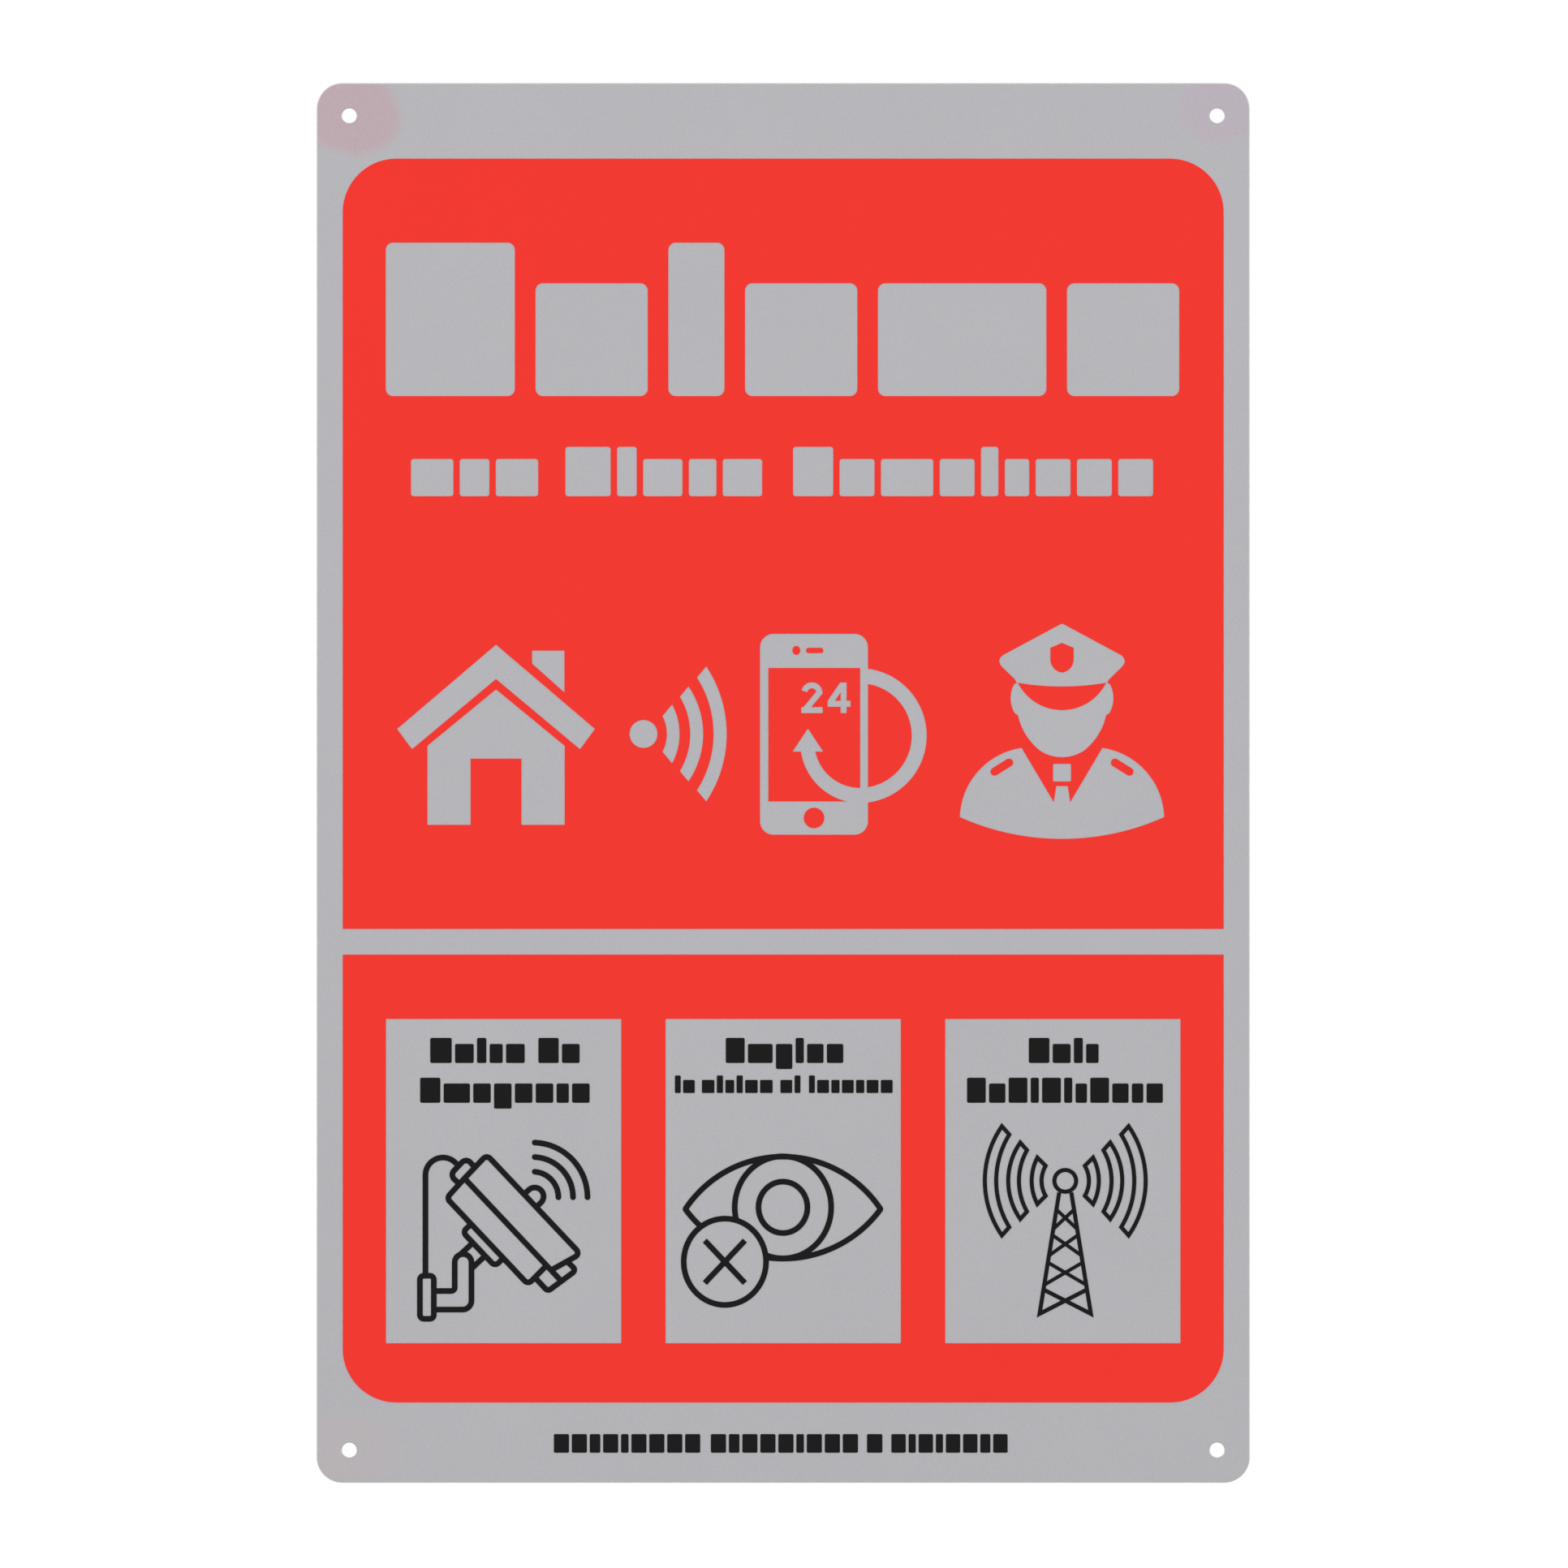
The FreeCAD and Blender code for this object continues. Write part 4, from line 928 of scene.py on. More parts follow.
@dataclass(frozen=True)
class RadioMast:
    """A line drawing of a braced mast with a ball on top and three bands of waves each side."""

    centre: Point = (0.52, 0.06)
    line_width: float = 0.9
    brace_width: float = 0.78
    ball_radius: float = 2.78
    leg_top: Point = (1.3, -2.5)
    leg_foot: Point = (5.5, -28.5)
    braces: tuple[Point, ...] = ((-6.15, -10.35), (-11.6, -16.0), (-17.5, -22.3))
    last_brace: float = -23.3
    bands: tuple[WaveBand, ...] = (
        WaveBand((4.2, 3.22), 5.08, (5.97, 4.98), 7.2),
        WaveBand((8.2, 6.58), 9.93, (9.64, 8.2), 12.22),
        WaveBand((12.0, 9.92), 14.8, (13.58, 11.7), 17.24),
    )

    def leg_reach(self, v: float) -> float:
        """How far a leg stands from the mast's middle at a height."""
        (top_u, top_v), (foot_u, foot_v) = self.leg_top, self.leg_foot
        return top_u + (foot_u - top_u) * (top_v - v) / (top_v - foot_v)

    def stencil(self) -> Solid:
        """Draw the ball, the legs, the crossed braces and the bands of waves.

        The lowest cross is one line with each leg, so that the feet are pointed.

        Returns:
            The whole drawing as one stencil.
        """
        lines = []
        for side in (-1.0, 1.0):
            leg = Pen(side * self.leg_top[0], self.leg_top[1])
            leg.line(side * self.leg_foot[0], self.leg_foot[1])
            leg.line(-side * self.leg_reach(self.last_brace), self.last_brace)
            lines.append(leg.stroke(self.line_width))
            lines += [band.outline(side).stroke(self.line_width) for band in self.bands]
            for high, low in self.braces:
                brace = Pen(-side * self.leg_reach(high), high)
                brace.line(side * self.leg_reach(low), low)
                lines.append(brace.stroke(self.brace_width))
        ball = ring(0.0, 0.0, self.ball_radius, self.line_width)
        return move(combine(ball, lines, Join.ADD), *self.centre)


class Mark(Enum):
    """Kinds of plain block: share of the width, whether it reaches up, whether it hangs down."""

    TALL = (1.15, True, False)
    SLIM = (0.5, True, False)
    LOW = (1.0, False, False)
    NARROW = (0.7, False, False)
    WIDE = (1.5, False, False)
    DEEP = (1.0, False, True)


# The kind of block that each letter of a pattern asks for.
PATTERN = {
    "T": Mark.TALL,
    "i": Mark.SLIM,
    "o": Mark.LOW,
    "r": Mark.NARROW,
    "m": Mark.WIDE,
    "g": Mark.DEEP,
}


@dataclass(frozen=True)
class BlockLine:
    """A line of plain rounded blocks, in millimetres."""

    foot: float
    low_top: float
    tall_top: float
    gap: float
    bend: float
    # Each run of blocks: its left end, its right end and its pattern.
    runs: tuple[tuple[float, float, str], ...]

    def stencils(self) -> list[Solid]:
        """Draw every block of the line.

        Returns:
            A stencil for each block.
        """
        made = []
        for left, right, pattern in self.runs:
            kinds = [PATTERN[letter].value for letter in pattern]
            room = right - left - self.gap * (len(kinds) - 1)
            unit = room / sum(share for share, _, _ in kinds)
            for share, tall, deep in kinds:
                top = self.tall_top if tall else self.low_top
                foot = self.foot - (self.tall_top - self.low_top if deep else 0.0)
                end = left + share * unit
                made.append(block(left, foot, end, top, self.bend))
                left = end + self.gap
        return made


# The two lines of the upper field, whose blocks are cut out of the film.
HEADING = BlockLine(82.9, 107.1, 115.8, 4.4, 1.6, ((-85.2, 84.9, "Toiomo"),))
SUB_HEADING = BlockLine(
    61.44, 69.44, 72.04, 1.35, 0.6,
    ((-79.8, -52.5, "oro"), (-46.7, -4.5, "Tioro"), (2.1, 79.3, "Tomoirooo")),
)
# The line under the lower field.
FOOT_LINE = BlockLine(
    -143.57, -139.57, -139.57, 0.6, 0.3,
    (
        (-49.15, -17.78, "ooroioooo"),
        (-15.51, 16.03, "oroooiooo"),
        (17.95, 21.26, "o"),
        (23.18, 48.10, "oioiooro"),
    ),
)
# The two lines over each drawing, from the middle of its window.
CAPTIONS = (
    (
        BlockLine(25.31, 29.41, 30.7, 0.7, 0.35, ((-15.72, 4.54, "Toiro"), (7.46, 16.3, "To"))),
        BlockLine(16.78, 20.93, 22.17, 0.7, 0.35, ((-17.88, 18.45, "Tmogooro"),)),
    ),
    (
        BlockLine(25.31, 29.41, 30.7, 0.7, 0.35, ((-12.31, 12.88, "Tmgioo"),)),
        BlockLine(
            18.88, 21.69, 22.65, 0.5, 0.25,
            (
                (-23.21, -18.96, "io"),
                (-17.43, -2.27, "oirioo"),
                (-0.6, 3.7, "oi"),
                (5.52, 23.45, "iororoo"),
            ),
        ),
    ),
    (
        BlockLine(25.31, 29.41, 30.7, 0.7, 0.35, ((-7.29, 7.67, "Toir"),)),
        BlockLine(16.78, 20.93, 22.17, 0.7, 0.35, ((-20.53, 21.44, "ToTiTirToro"),)),
    ),
)


def add_node(
    tree: bpy.types.NodeTree,
    kind: str,
    settings: dict[str, object],
    inputs: dict[str | int, object],
) -> bpy.types.Node:
    """Add a node with its settings and its links.

    Args:
        tree: the node tree that gets the node.
        kind: the node's type.
        settings: the node's own properties.
        inputs: for each input, its value or the output that feeds it.

    Returns:
        The node.
    """
    node = tree.nodes.new(kind)
    for name, value in settings.items():
        setattr(node, name, value)
    for name, value in inputs.items():
        if isinstance(value, bpy.types.NodeSocket):
            tree.links.new(value, node.inputs[name])
        else:
            node.inputs[name].default_value = value
    return node


class Surface:
    """A material in the making: its node tree, its shader and its place in millimetres."""

    def __init__(self, name: str, constants: dict[str, object]) -> None:
        """Start a material.

        Args:
            name: the material's name.
            constants: the values that hold all over it, by socket of the shader.
        """
        self.material = bpy.data.materials.new(name)
        self.material.use_nodes = True
        self.tree = self.material.node_tree
        self.shader = self.tree.nodes["Principled BSDF"]
        for socket, value in constants.items():
            self.shader.inputs[socket].default_value = value
        coordinates = self.add("ShaderNodeTexCoord", {}, {})
        self.place = self.add(
            "ShaderNodeVectorMath",
            {"operation": "SCALE"},
            {0: coordinates.outputs["Object"], "Scale": 1.0 / MM},
        ).outputs[0]

    def add(
        self, kind: str, settings: dict[str, object], inputs: dict[str | int, object]
    ) -> bpy.types.Node:
        """Add a node to this material's tree."""
        return add_node(self.tree, kind, settings, inputs)

    def drive(self, socket: str, output: bpy.types.NodeSocket) -> None:
        """Let an output set one of the shader's sockets."""
        self.tree.links.new(output, self.shader.inputs[socket])

    def relieve(
        self,
        grain: bpy.types.NodeSocket,
        roughness: tuple[float, float],
        height: bpy.types.NodeSocket,
        depth: float,
    ) -> None:
        """Let one pattern vary the roughness and another the height.

        Args:
            grain: the pattern that varies the roughness.
            roughness: the least and the most of it.
            height: the pattern that raises the surface.
            depth: how deep that pattern goes, in millimetres.
        """
        least, most = roughness
        gloss = self.add(
            "ShaderNodeMapRange", {}, {"Value": grain, "To Min": least, "To Max": most}
        )
        self.drive("Roughness", gloss.outputs[0])
        bump = self.add("ShaderNodeBump", {}, {"Distance": depth * MM, "Height": height})
        self.drive("Normal", bump.outputs["Normal"])


@dataclass(frozen=True)
class Stain:
    """A soft-edged cast of colour on the lacquer, in millimetres."""

    centre: Point
    reach: Point
    colour: str
    # How wide its edge fades to each side, as a share of its reach.
    softness: float = 0.22


@dataclass(frozen=True)
class SilverLacquer:
    """Rolled aluminium sheet, coil-coated with a lacquer that holds fine aluminium flake.

    The eye sees an even silver-grey with a trace of sparkle, and a satin sheen with no clear
    reflection. A faint rosy cast has crept in round the fixing holes.
    """

    name: str = "silver_lacquered_aluminium"
    lighter: str = "#B7B7BB"
    darker: str = "#B2B2B6"
    metallic: float = 0.5
    smoother: float = 0.38
    rougher: float = 0.46
    cloud_size: float = 38.0
    cloud_detail: float = 3.0
    # Real flake is about 0.03 mm, too fine to show, so it is drawn ten times as coarse.
    flake_size: float = 0.35
    flake_detail: float = 2.0
    flake_contrast: float = 0.05
    peel_size: float = 1.2
    peel_detail: float = 1.0
    peel_depth: float = 0.004
    # How quickly a stain's edge wavers, by the millimetre, and how far, as a share of its reach.
    waver_pace: float = 0.12
    waver_detail: float = 2.0
    waver_share: float = 0.5
    stains: tuple[Stain, ...] = (
        Stain((-92.0, 143.5), (10.0, 8.6), "#BBA7AE"),
        Stain((93.5, 144.5), (8.6, 7.2), "#B8AFB8"),
        Stain((-92.5, -143.0), (9.4, 7.6), "#B8B3B6"),
    )

    def make(self) -> bpy.types.Material:
        """Make the material.

        Returns:
            The material.
        """
        surface = Surface(self.name, {"Metallic": self.metallic})
        clouds = surface.add(
            "ShaderNodeTexNoise",
            {},
            {"Vector": surface.place, "Scale": 1.0 / self.cloud_size, "Detail": self.cloud_detail},
        )
        colour = surface.add(
            "ShaderNodeMix",
            {"data_type": "RGBA"},
            {0: clouds.outputs["Fac"], 6: linear(self.darker), 7: linear(self.lighter)},
        ).outputs[2]
        waver = surface.add(
            "ShaderNodeTexNoise",
            {},
            {"Vector": surface.place, "Scale": self.waver_pace, "Detail": self.waver_detail},
        ).outputs["Fac"]
        for stain in self.stains:
            colour = self.add_stain(surface, stain, colour, waver)
        flake = surface.add(
            "ShaderNodeTexNoise",
            {},
            {"Vector": surface.place, "Scale": 1.0 / self.flake_size, "Detail": self.flake_detail},
        ).outputs["Fac"]
        sparkle = surface.add(
            "ShaderNodeMapRange",
            {},
            {
                "Value": flake,
                "From Min": NOISE_LOW,
                "From Max": NOISE_HIGH,
                "To Min": 1.0 - self.flake_contrast,
                "To Max": 1.0 + self.flake_contrast,
            },
        )
        flaked = surface.add(
            "ShaderNodeVectorMath", {"operation": "SCALE"}, {0: colour, "Scale": sparkle.outputs[0]}
        )
        surface.drive("Base Color", flaked.outputs[0])
        peel = surface.add(
            "ShaderNodeTexNoise",
            {},
            {"Vector": surface.place, "Scale": 1.0 / self.peel_size, "Detail": self.peel_detail},
        ).outputs["Fac"]
        surface.relieve(flake, (self.smoother, self.rougher), peel, self.peel_depth)
        return surface.material

    def add_stain(
        self,
        surface: Surface,
        stain: Stain,
        colour: bpy.types.NodeSocket,
        waver: bpy.types.NodeSocket,
    ) -> bpy.types.NodeSocket:
        """Lay one stain over a colour.

        Args:
            surface: the material that gets it.
            stain: where it lies and what colour it has.
            colour: the colour so far.
            waver: noise that makes its edge uneven.

        Returns:
            The colour with the stain on it.
        """
        reach_u, reach_v = stain.reach
        offset = surface.add(
            "ShaderNodeVectorMath",
            {"operation": "SUBTRACT"},
            {0: surface.place, 1: (stain.centre[0], 0.0, stain.centre[1])},
        )
        share = surface.add(
            "ShaderNodeVectorMath",
            {"operation": "MULTIPLY"},
            {0: offset.outputs[0], 1: (1.0 / reach_u, 0.0, 1.0 / reach_v)},
        )
        length = surface.add(
            "ShaderNodeVectorMath", {"operation": "LENGTH"}, {0: share.outputs[0]}
        )
        uneven = surface.add(
            "ShaderNodeMath",
            {"operation": "MULTIPLY_ADD"},
            {0: waver, 1: self.waver_share, 2: length.outputs["Value"]},
        )
        # The noise is a half on average, so this puts the edge at the stain's reach.
        edge = 1.0 + self.waver_share / 2.0
        mask = surface.add(
            "ShaderNodeMapRange",
            {"interpolation_type": "SMOOTHSTEP"},
            {
                "Value": uneven.outputs[0],
                "From Min": edge + stain.softness,
                "From Max": edge - stain.softness,
            },
        )
        return surface.add(
            "ShaderNodeMix",
            {"data_type": "RGBA"},
            {0: mask.outputs[0], 6: colour, 7: linear(stain.colour)},
        ).outputs[2]


@dataclass(frozen=True)
class StreakedAluminium:
    """Bare aluminium whose colour, gloss and height all follow one drawn-out pattern."""

    name: str
    lighter: str
    darker: str
    smoother: float
    rougher: float
    # The pattern's pitch along X, Y and Z, and its depth, in millimetres.
    pitch: tuple[float, float, float]
    depth: float
    detail: float
    harshness: float = 0.5
    anisotropy: float = 0.0

    def make(self) -> bpy.types.Material:
        """Make the material.

        Returns:
            The material.
        """
        surface = Surface(self.name, {"Metallic": 1.0, "Anisotropic": self.anisotropy})
        stretch = surface.add(
            "ShaderNodeMapping",
            {"vector_type": "POINT"},
            {"Vector": surface.place, "Scale": tuple(1.0 / length for length in self.pitch)},
        )
        streaks = surface.add(
            "ShaderNodeTexNoise",
            {},
            {
                "Vector": stretch.outputs[0],
                "Scale": 1.0,
                "Detail": self.detail,
                "Roughness": self.harshness,
            },
        ).outputs["Fac"]
        colour = surface.add(
            "ShaderNodeMix",
            {"data_type": "RGBA"},
            {0: streaks, 6: linear(self.darker), 7: linear(self.lighter)},
        )
        surface.drive("Base Color", colour.outputs[2])
        surface.relieve(streaks, (self.smoother, self.rougher), streaks, self.depth)
        return surface.material


@dataclass(frozen=True)
class MillFinish(StreakedAluminium):
    """Rolled aluminium, as the mill leaves it.

    The eye sees a bright grey back with fine lines that run the way the sheet was rolled, and
    soft, drawn-out reflections.
    """

    name: str = "mill_finish_aluminium"
    lighter: str = "#D6D7D9"
    darker: str = "#C2C3C6"
    smoother: float = 0.24
    rougher: float = 0.4
    # Rolling lines are about 0.1 mm apart, too fine to show, so they are drawn coarser.
    pitch: tuple[float, float, float] = (0.45, 0.45, 60.0)
    depth: float = 0.003
    detail: float = 4.0
    harshness: float = 0.65
    anisotropy: float = 0.5


@dataclass(frozen=True)
class ShearedEdge(StreakedAluminium):
    """The cut edge of an aluminium sheet, sheared or punched and then deburred.

    The eye sees a bright thin line with fine score marks across the sheet's thickness.
    """

    name: str = "sheared_aluminium_edge"
    lighter: str = "#DCDCDE"
    darker: str = "#B4B5B8"
    smoother: float = 0.22
    rougher: float = 0.42
    # Score marks are about 0.05 mm apart, too fine to show, so they are drawn coarser.
    pitch: tuple[float, float, float] = (0.3, 2.0, 0.3)
    depth: float = 0.01
    detail: float = 3.0


@dataclass(frozen=True)
class VinylFilm:
    """Cast vinyl film, plotter-cut and squeegeed onto the sheet.

    The eye sees one even, saturated colour under a satin skin, with soft upright bands where the
    squeegee went and the slightest orange peel.
    """

    name: str
    colour: str
    band_colour: str
    specular: float
    smoother: float = 0.36
    rougher: float = 0.46
    # The bands' pitch along X, Y and Z, in millimetres.
    band_pitch: tuple[float, float, float] = (16.0, 1.0, 90.0)
    band_detail: float = 3.0
    peel_size: float = 1.5
    peel_detail: float = 2.0
    peel_depth: float = 0.005

    def make(self) -> bpy.types.Material:
        """Make the material.

        Returns:
            The material.
        """
        surface = Surface(self.name, {"Specular IOR Level": self.specular})
        stretch = surface.add(
            "ShaderNodeMapping",
            {"vector_type": "POINT"},
            {"Vector": surface.place, "Scale": tuple(1.0 / length for length in self.band_pitch)},
        )
        bands = surface.add(
            "ShaderNodeTexNoise",
            {},
            {"Vector": stretch.outputs[0], "Scale": 1.0, "Detail": self.band_detail},
        ).outputs["Fac"]
        colour = surface.add(
            "ShaderNodeMix",
            {"data_type": "RGBA"},
            {0: bands, 6: linear(self.colour), 7: linear(self.band_colour)},
        )
        surface.drive("Base Color", colour.outputs[2])
        peel = surface.add(
            "ShaderNodeTexNoise",
            {},
            {"Vector": surface.place, "Scale": 1.0 / self.peel_size, "Detail": self.peel_detail},
        ).outputs["Fac"]
        surface.relieve(peel, (self.smoother, self.rougher), peel, self.peel_depth)
        return surface.material


@dataclass(frozen=True)
class Layer:
    """The depths between which a flat piece lies, in metres along Y, the front one first."""

    front: float
    back: float

    @classmethod
    def of(cls, node: str) -> "Layer":
        """Take the depths from a node of the frame."""
        low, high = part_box(node)
        return cls(low.y, high.y)

    def settle(self, stencil: Solid) -> None:
        """Flatten a stencil into the layer, in metres.

        Args:
            stencil: the stencil, in millimetres.
        """
        slope = (self.back - self.front) / (2.0 * STENCIL_HALF)
        place = Matrix.Translation((0.0, (self.front + self.back) / 2.0, 0.0))
        stencil.data.transform(place @ Matrix.Diagonal((MM, slope, MM, 1.0)))


def weld(piece: Solid) -> bmesh.types.BMesh:
    """Take a piece's mesh, in metres, for editing, with doubled corners merged.

    Args:
        piece: the piece.

    Returns:
        Its mesh as a bmesh.
    """
    shape = bmesh.new()
    shape.from_mesh(piece.data)
    bmesh.ops.remove_doubles(shape, verts=shape.verts, dist=MERGE_REACH * MM)
    return shape


def shade(shape: bmesh.types.BMesh, piece: Solid) -> None:
    """Shade a mesh smooth, save for sharp edges and the rims of its front and back, and keep it.

    Args:
        shape: the mesh, which is freed.
        piece: the piece that it goes to.
    """
    for face in shape.faces:
        face.smooth = True
    for edge in shape.edges:
        sharp = edge.calc_face_angle(0.0) > math.radians(SHARP_TURN)
        levels = {abs(face.normal.y) > FLAT for face in edge.link_faces}
        edge.smooth = not sharp and len(levels) == 1
    shape.to_mesh(piece.data)
    shape.free()


def finish_piece(piece: Solid, name: str, materials: list[bpy.types.Material]) -> Solid:
    """Name a piece, dress it and say what it rides on.

    Args:
        piece: the piece, with its final mesh.
        name: the piece's name.
        materials: what it is made of, in the order of its material slots.

    Returns:
        The piece.
    """
    piece.name = name
    piece.data.name = name
    for material in materials:
        piece.data.materials.append(material)
    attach(piece, ROOT)
    return piece


def gather(solids: list[Solid]) -> Solid:
    """Put separate solids into one object.

    Args:
        solids: the solids, which are used up.

    Returns:
        The object that holds them all.
    """
    whole = bmesh.new()
    for solid in solids:
        whole.from_mesh(solid.data)
        bpy.data.objects.remove(solid)
    return as_solid(whole, "gathered")


def film_piece(
    stencil: Solid, layer: Layer, name: str, film: bpy.types.Material
) -> Solid:
    """Turn a stencil into a piece of film on the sheet.

    Args:
        stencil: the film's shape.
        layer: the depths that the film lies between.
        name: the piece's name.
        film: its material.

    Returns:
        The piece.
    """
    layer.settle(stencil)
    shade(weld(stencil), stencil)
    return finish_piece(stencil, name, [film])


class Side(Enum):
    """The sheet's sides, numbered as its materials are."""

    FRONT = 0
    BACK = 1
    EDGE = 2


@dataclass(frozen=True)
class SignPlate:
    """The sheet: round corners, four punched holes, deburred edges. Lengths in millimetres."""

    node: str = "sign_plate"
    corner_radius: float = 5.5
    hole_radius: float = 1.6
    hole_inset: float = 7.0
    edge_break: float = 0.2
    rim_break: float = 0.15
    # Edges that turn by more than this are the sheet's outer edges or the holes' rims, in degrees.
    rim_turn: float = 60.0

    def build(self) -> Solid:
        """Build the sheet in place of its node, and dress its front, back and edges.

        Returns:
            The sheet.
        """
        low, high = (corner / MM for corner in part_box(self.node))
        plate = block(low.x, low.z, high.x, high.z, self.corner_radius)
        reach_u, reach_v = high.x - self.hole_inset, high.z - self.hole_inset
        holes = [
            disc(side * reach_u, row * reach_v, self.hole_radius)
            for side in (-1.0, 1.0)
            for row in (-1.0, 1.0)
        ]
        combine(plate, holes, Join.CUT)
        Layer.of(self.node).settle(plate)
        self.deburr(plate)
        finishes = {
            Side.FRONT: SilverLacquer(),
            Side.BACK: MillFinish(),
            Side.EDGE: ShearedEdge(),
        }
        materials = [finishes[side].make() for side in Side]
        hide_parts(self.node)
        return finish_piece(plate, self.node + "_sheet", materials)

    def deburr(self, plate: Solid) -> None:
        """Break the sheet's edges and the holes' front rims, and sort its faces by finish.

        Args:
            plate: the sheet, in metres.
        """
        low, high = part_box(self.node)
        shape = weld(plate)
        turn_limit = math.radians(self.rim_turn)
        corners = [edge for edge in shape.edges if edge.calc_face_angle(0.0) > turn_limit]
        rims, outer = [], []
        hole_reach = high.x - (self.hole_inset + 2.0 * self.hole_radius) * MM
        outer_reach = (self.hole_inset - 2.0 * self.hole_radius) * MM
        for edge in corners:
            middle = (edge.verts[0].co + edge.verts[1].co) / 2.0
            inward_u = high.x - abs(middle.x)
            inward_v = high.z - abs(middle.z)
            in_hole = abs(middle.x) > hole_reach and min(inward_u, inward_v) > outer_reach
            if not in_hole:
                outer.append(edge)
            elif middle.y < (low.y + high.y) / 2.0:
                rims.append(edge)
        for edges, depth in ((rims, self.rim_break), (outer, self.edge_break)):
            bmesh.ops.bevel(
                shape,
                geom=edges,
                offset=depth * MM,
                offset_type="OFFSET",
                affect="EDGES",
                segments=1,
                profile=0.5,
                material=-1,
            )
        for face in shape.faces:
            side = Side.EDGE
            if abs(face.normal.y) > FLAT:
                back = face.calc_center_median().y > (low.y + high.y) / 2.0
                side = Side.BACK if back else Side.FRONT
            face.material_index = side.value
        shade(shape, plate)


@dataclass(frozen=True)
class RedField:
    """A field of red film, rounded at its two top or its two bottom corners, in millimetres."""

    node: str
    name: str
    rounded_row: int
    corner_radius: float = 11.5

    def box(self) -> tuple[Vector, Vector]:
        """The field's lowest and highest corners, from the frame."""
        low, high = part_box(self.node)
        return low / MM, high / MM

    def build(self, cut_outs: list[Solid], film: bpy.types.Material) -> Solid:
        """Build the field in place of its node.

        Args:
            cut_outs: the stencils that are cut out of the film.
            film: the film's material.

        Returns:
            The piece.
        """
        low, high = self.box()
        bends = {row: self.corner_radius if row == self.rounded_row else 0.0 for row in (-1, 1)}
        pen = Pen(low.x, low.z).line(high.x, low.z, bends[-1]).line(high.x, high.z, bends[1])
        field = pen.line(low.x, high.z, bends[1]).close(bends[-1]).fill()
        combine(field, cut_outs, Join.CUT)
        piece = film_piece(field, Layer.of(self.node), self.name, film)
        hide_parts(self.node)
        return piece


@dataclass(frozen=True)
class WindowRow:
    """The row of windows in the lower field, in millimetres."""

    count: int = 3
    gap: float = 9.5
    side_margin: float = 9.25
    top_margin: float = 13.8
    bottom_margin: float = 12.7

    def places(self, field: RedField) -> list[tuple[float, float, float, float]]:
        """Work out each window's left, foot, right and top from the field's box.

        Args:
            field: the field that the windows are cut out of.

        Returns:
            The four measures of each window, from left to right.
        """
        low, high = field.box()
        left = low.x + self.side_margin
        room = high.x - self.side_margin - left - (self.count - 1) * self.gap
        width = room / self.count
        foot, top = low.z + self.bottom_margin, high.z - self.top_margin
        starts = [left + number * (width + self.gap) for number in range(self.count)]
        return [(start, foot, start + width, top) for start in starts]


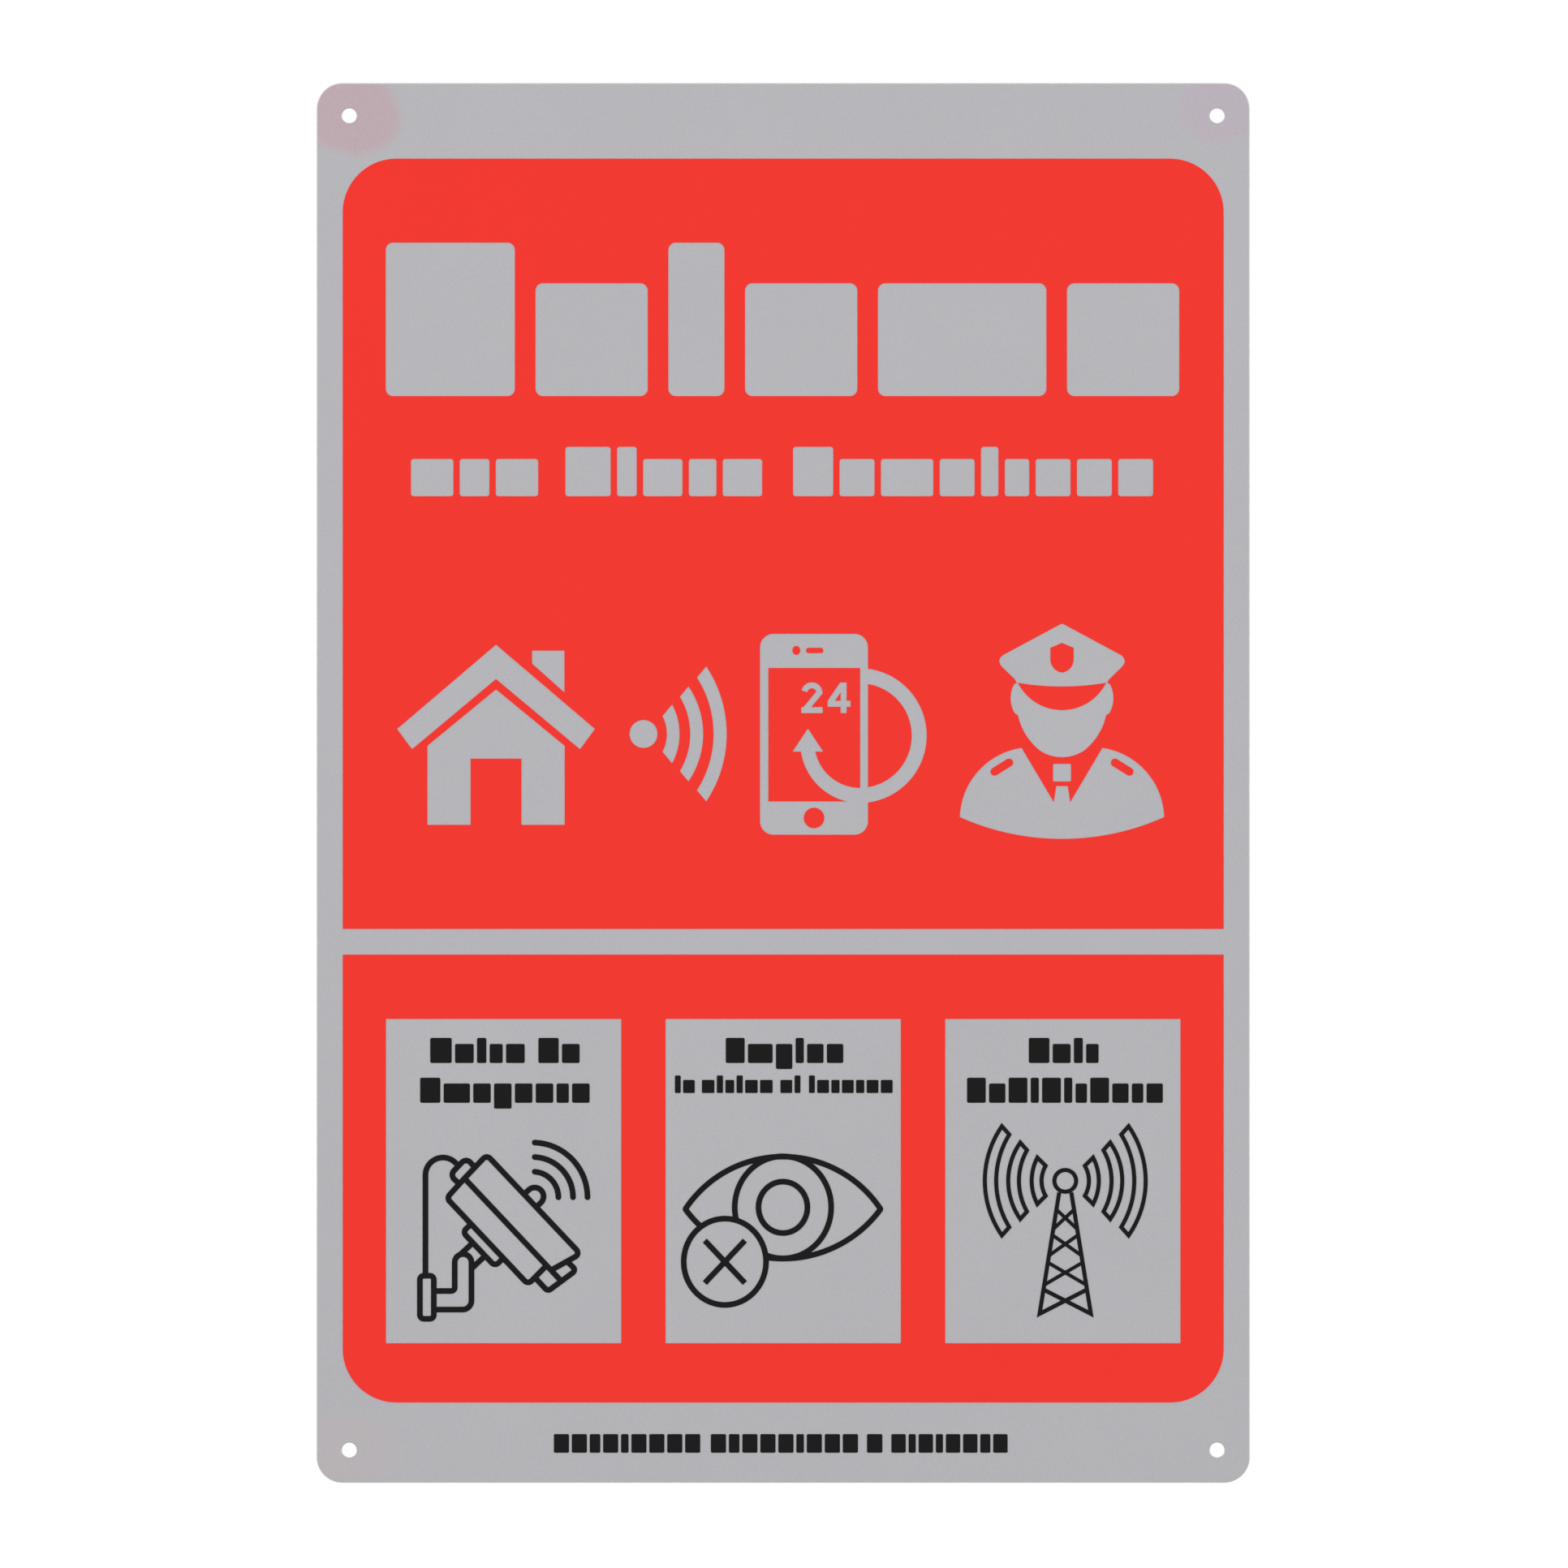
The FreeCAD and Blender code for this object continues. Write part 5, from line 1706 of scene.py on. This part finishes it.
@dataclass(frozen=True)
class Studio:
    """Plain pale floor, soft lamps, an even white world and the photograph's camera, in metres."""

    camera_distance: float = 3.0
    view_width: float = 0.33619
    view_centre: Point = (0.000174, -0.000235)
    sensor_width: float = 36.0
    far_clip: float = 20.0
    # How far the floor lies below the sign.
    floor_drop: float = 0.12
    floor_half: float = 1.38
    floor_colour: str = "#EFEFEF"
    floor_roughness: float = 0.9
    floor_specular: float = 0.1
    fill_strength: float = 0.72
    lamp_size: float = 1.4
    lamp_places: tuple[tuple[float, float, float], ...] = ((-2.7, -1.7, 1.3), (2.9, -1.6, 0.9))
    lamp_powers: tuple[float, ...] = (33.6, 28.0)

    def build(self) -> None:
        """Set up everything that isn't the sign."""
        self.build_camera()
        self.build_world()
        self.build_floor()
        for place, power in zip(self.lamp_places, self.lamp_powers):
            self.build_lamp(place, power)
        bpy.context.scene.view_settings.view_transform = "Standard"

    def build_camera(self) -> None:
        """Look at the sign squarely, from far off, with the photograph's framing."""
        data = bpy.data.cameras.new("camera")
        data.sensor_width = self.sensor_width
        data.lens = self.sensor_width * self.camera_distance / self.view_width
        data.clip_end = self.far_clip
        camera = bpy.data.objects.new("camera", data)
        centre_x, centre_z = self.view_centre
        camera.location = (centre_x, -self.camera_distance, centre_z)
        camera.rotation_euler = (math.pi / 2.0, 0.0, 0.0)
        bpy.context.scene.collection.objects.link(camera)
        bpy.context.scene.camera = camera

    def build_world(self) -> None:
        """Make the surroundings white to the eye and in reflections, and softer as light."""
        world = bpy.data.worlds.new("studio")
        world.use_nodes = True
        tree = world.node_tree
        tree.nodes.clear()
        path = add_node(tree, "ShaderNodeLightPath", {}, {})
        seen = path.outputs["Is Camera Ray"]
        for ray in ("Is Glossy Ray", "Is Transmission Ray"):
            seen = add_node(
                tree, "ShaderNodeMath", {"operation": "MAXIMUM"}, {0: seen, 1: path.outputs[ray]}
            ).outputs[0]
        white = linear("#FFFFFF")
        fill = add_node(
            tree, "ShaderNodeBackground", {}, {"Color": white, "Strength": self.fill_strength}
        )
        shown = add_node(tree, "ShaderNodeBackground", {}, {"Color": white, "Strength": 1.0})
        mixed = add_node(
            tree, "ShaderNodeMixShader", {}, {0: seen, 1: fill.outputs[0], 2: shown.outputs[0]}
        )
        add_node(tree, "ShaderNodeOutputWorld", {}, {"Surface": mixed.outputs[0]})
        bpy.context.scene.world = world

    def build_floor(self) -> None:
        """Lay the floor under the sign, out of sight of the photograph's camera."""
        shape = bmesh.new()
        bmesh.ops.create_grid(shape, x_segments=1, y_segments=1, size=self.floor_half)
        low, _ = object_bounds()
        bmesh.ops.translate(shape, verts=shape.verts, vec=(0.0, 0.0, low.z - self.floor_drop))
        floor = as_solid(shape, "floor")
        constants = {"Roughness": self.floor_roughness, "Specular IOR Level": self.floor_specular}
        surface = Surface("painted_plaster", constants)
        surface.shader.inputs["Base Color"].default_value = linear(self.floor_colour)
        floor.data.materials.append(surface.material)
        floor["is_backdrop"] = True

    def build_lamp(self, place: tuple[float, float, float], power: float) -> None:
        """Hang one soft lamp that shines at the sign.

        Args:
            place: where it hangs.
            power: its power in watts.
        """
        data = bpy.data.lights.new("soft_lamp", "AREA")
        data.size = self.lamp_size
        data.energy = power
        lamp = bpy.data.objects.new("soft_lamp", data)
        lamp.location = place
        lamp.rotation_euler = (-Vector(place)).to_track_quat("-Z", "Y").to_euler()
        bpy.context.scene.collection.objects.link(lamp)


@dataclass(frozen=True)
class AlarmSign:
    """The whole sign: the sheet, its two red fields, and the black drawings and blocks."""

    red: VinylFilm = VinylFilm("red_vinyl_film", "#F22E23", "#EF2D22", specular=0.25)
    black: VinylFilm = VinylFilm("black_vinyl_film", "#0D0D0E", "#101011", specular=0.12)
    upper: RedField = RedField("red_field_upper", "red_film_upper", rounded_row=1)
    lower: RedField = RedField("red_field_lower", "red_film_lower", rounded_row=-1)
    windows: WindowRow = WindowRow()

    def build(self) -> list[Solid]:
        """Build the sheet first and then what lies on it.

        Returns:
            The finished pieces.
        """
        pieces = [SignPlate().build()]
        red, black = self.red.make(), self.black.make()
        signs = (House(), HouseSignal(), Telephone(), PlainNumber(), Guard(), HEADING, SUB_HEADING)
        pieces.append(self.upper.build([cut for sign in signs for cut in sign.stencils()], red))
        places = self.windows.places(self.lower)
        pieces.append(self.lower.build([block(*place) for place in places], red))
        layer = Layer.of(self.lower.node)
        names = ("camera", "eye", "mast")
        drawings = (WatchingCamera(), CrossedEye(), RadioMast())
        for name, place, drawing, caption in zip(names, places, drawings, CAPTIONS):
            left, foot, right, top = place
            middle = ((left + right) / 2.0, (foot + top) / 2.0)
            lines = move(drawing.stencil(), *middle)
            piece = film_piece(lines, layer, f"{name}_drawing", black)
            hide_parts(f"{name}_mark")
            blocks = move(gather([b for line in caption for b in line.stencils()]), *middle)
            blocks = film_piece(blocks, layer, f"{name}_caption_blocks", black)
            pieces += [piece, blocks]
        blocks = gather(FOOT_LINE.stencils())
        pieces.append(film_piece(blocks, layer, "foot_blocks", black))
        return pieces


def main() -> None:
    """Build the studio and the sign, and report each piece."""
    logging.basicConfig(level=logging.INFO, format="%(name)s: %(message)s")
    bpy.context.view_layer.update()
    Studio().build()
    for piece in AlarmSign().build():
        log.info("%s: %d faces", piece.name, len(piece.data.polygons))
    bpy.context.view_layer.update()


if __name__ == "__main__":
    main()
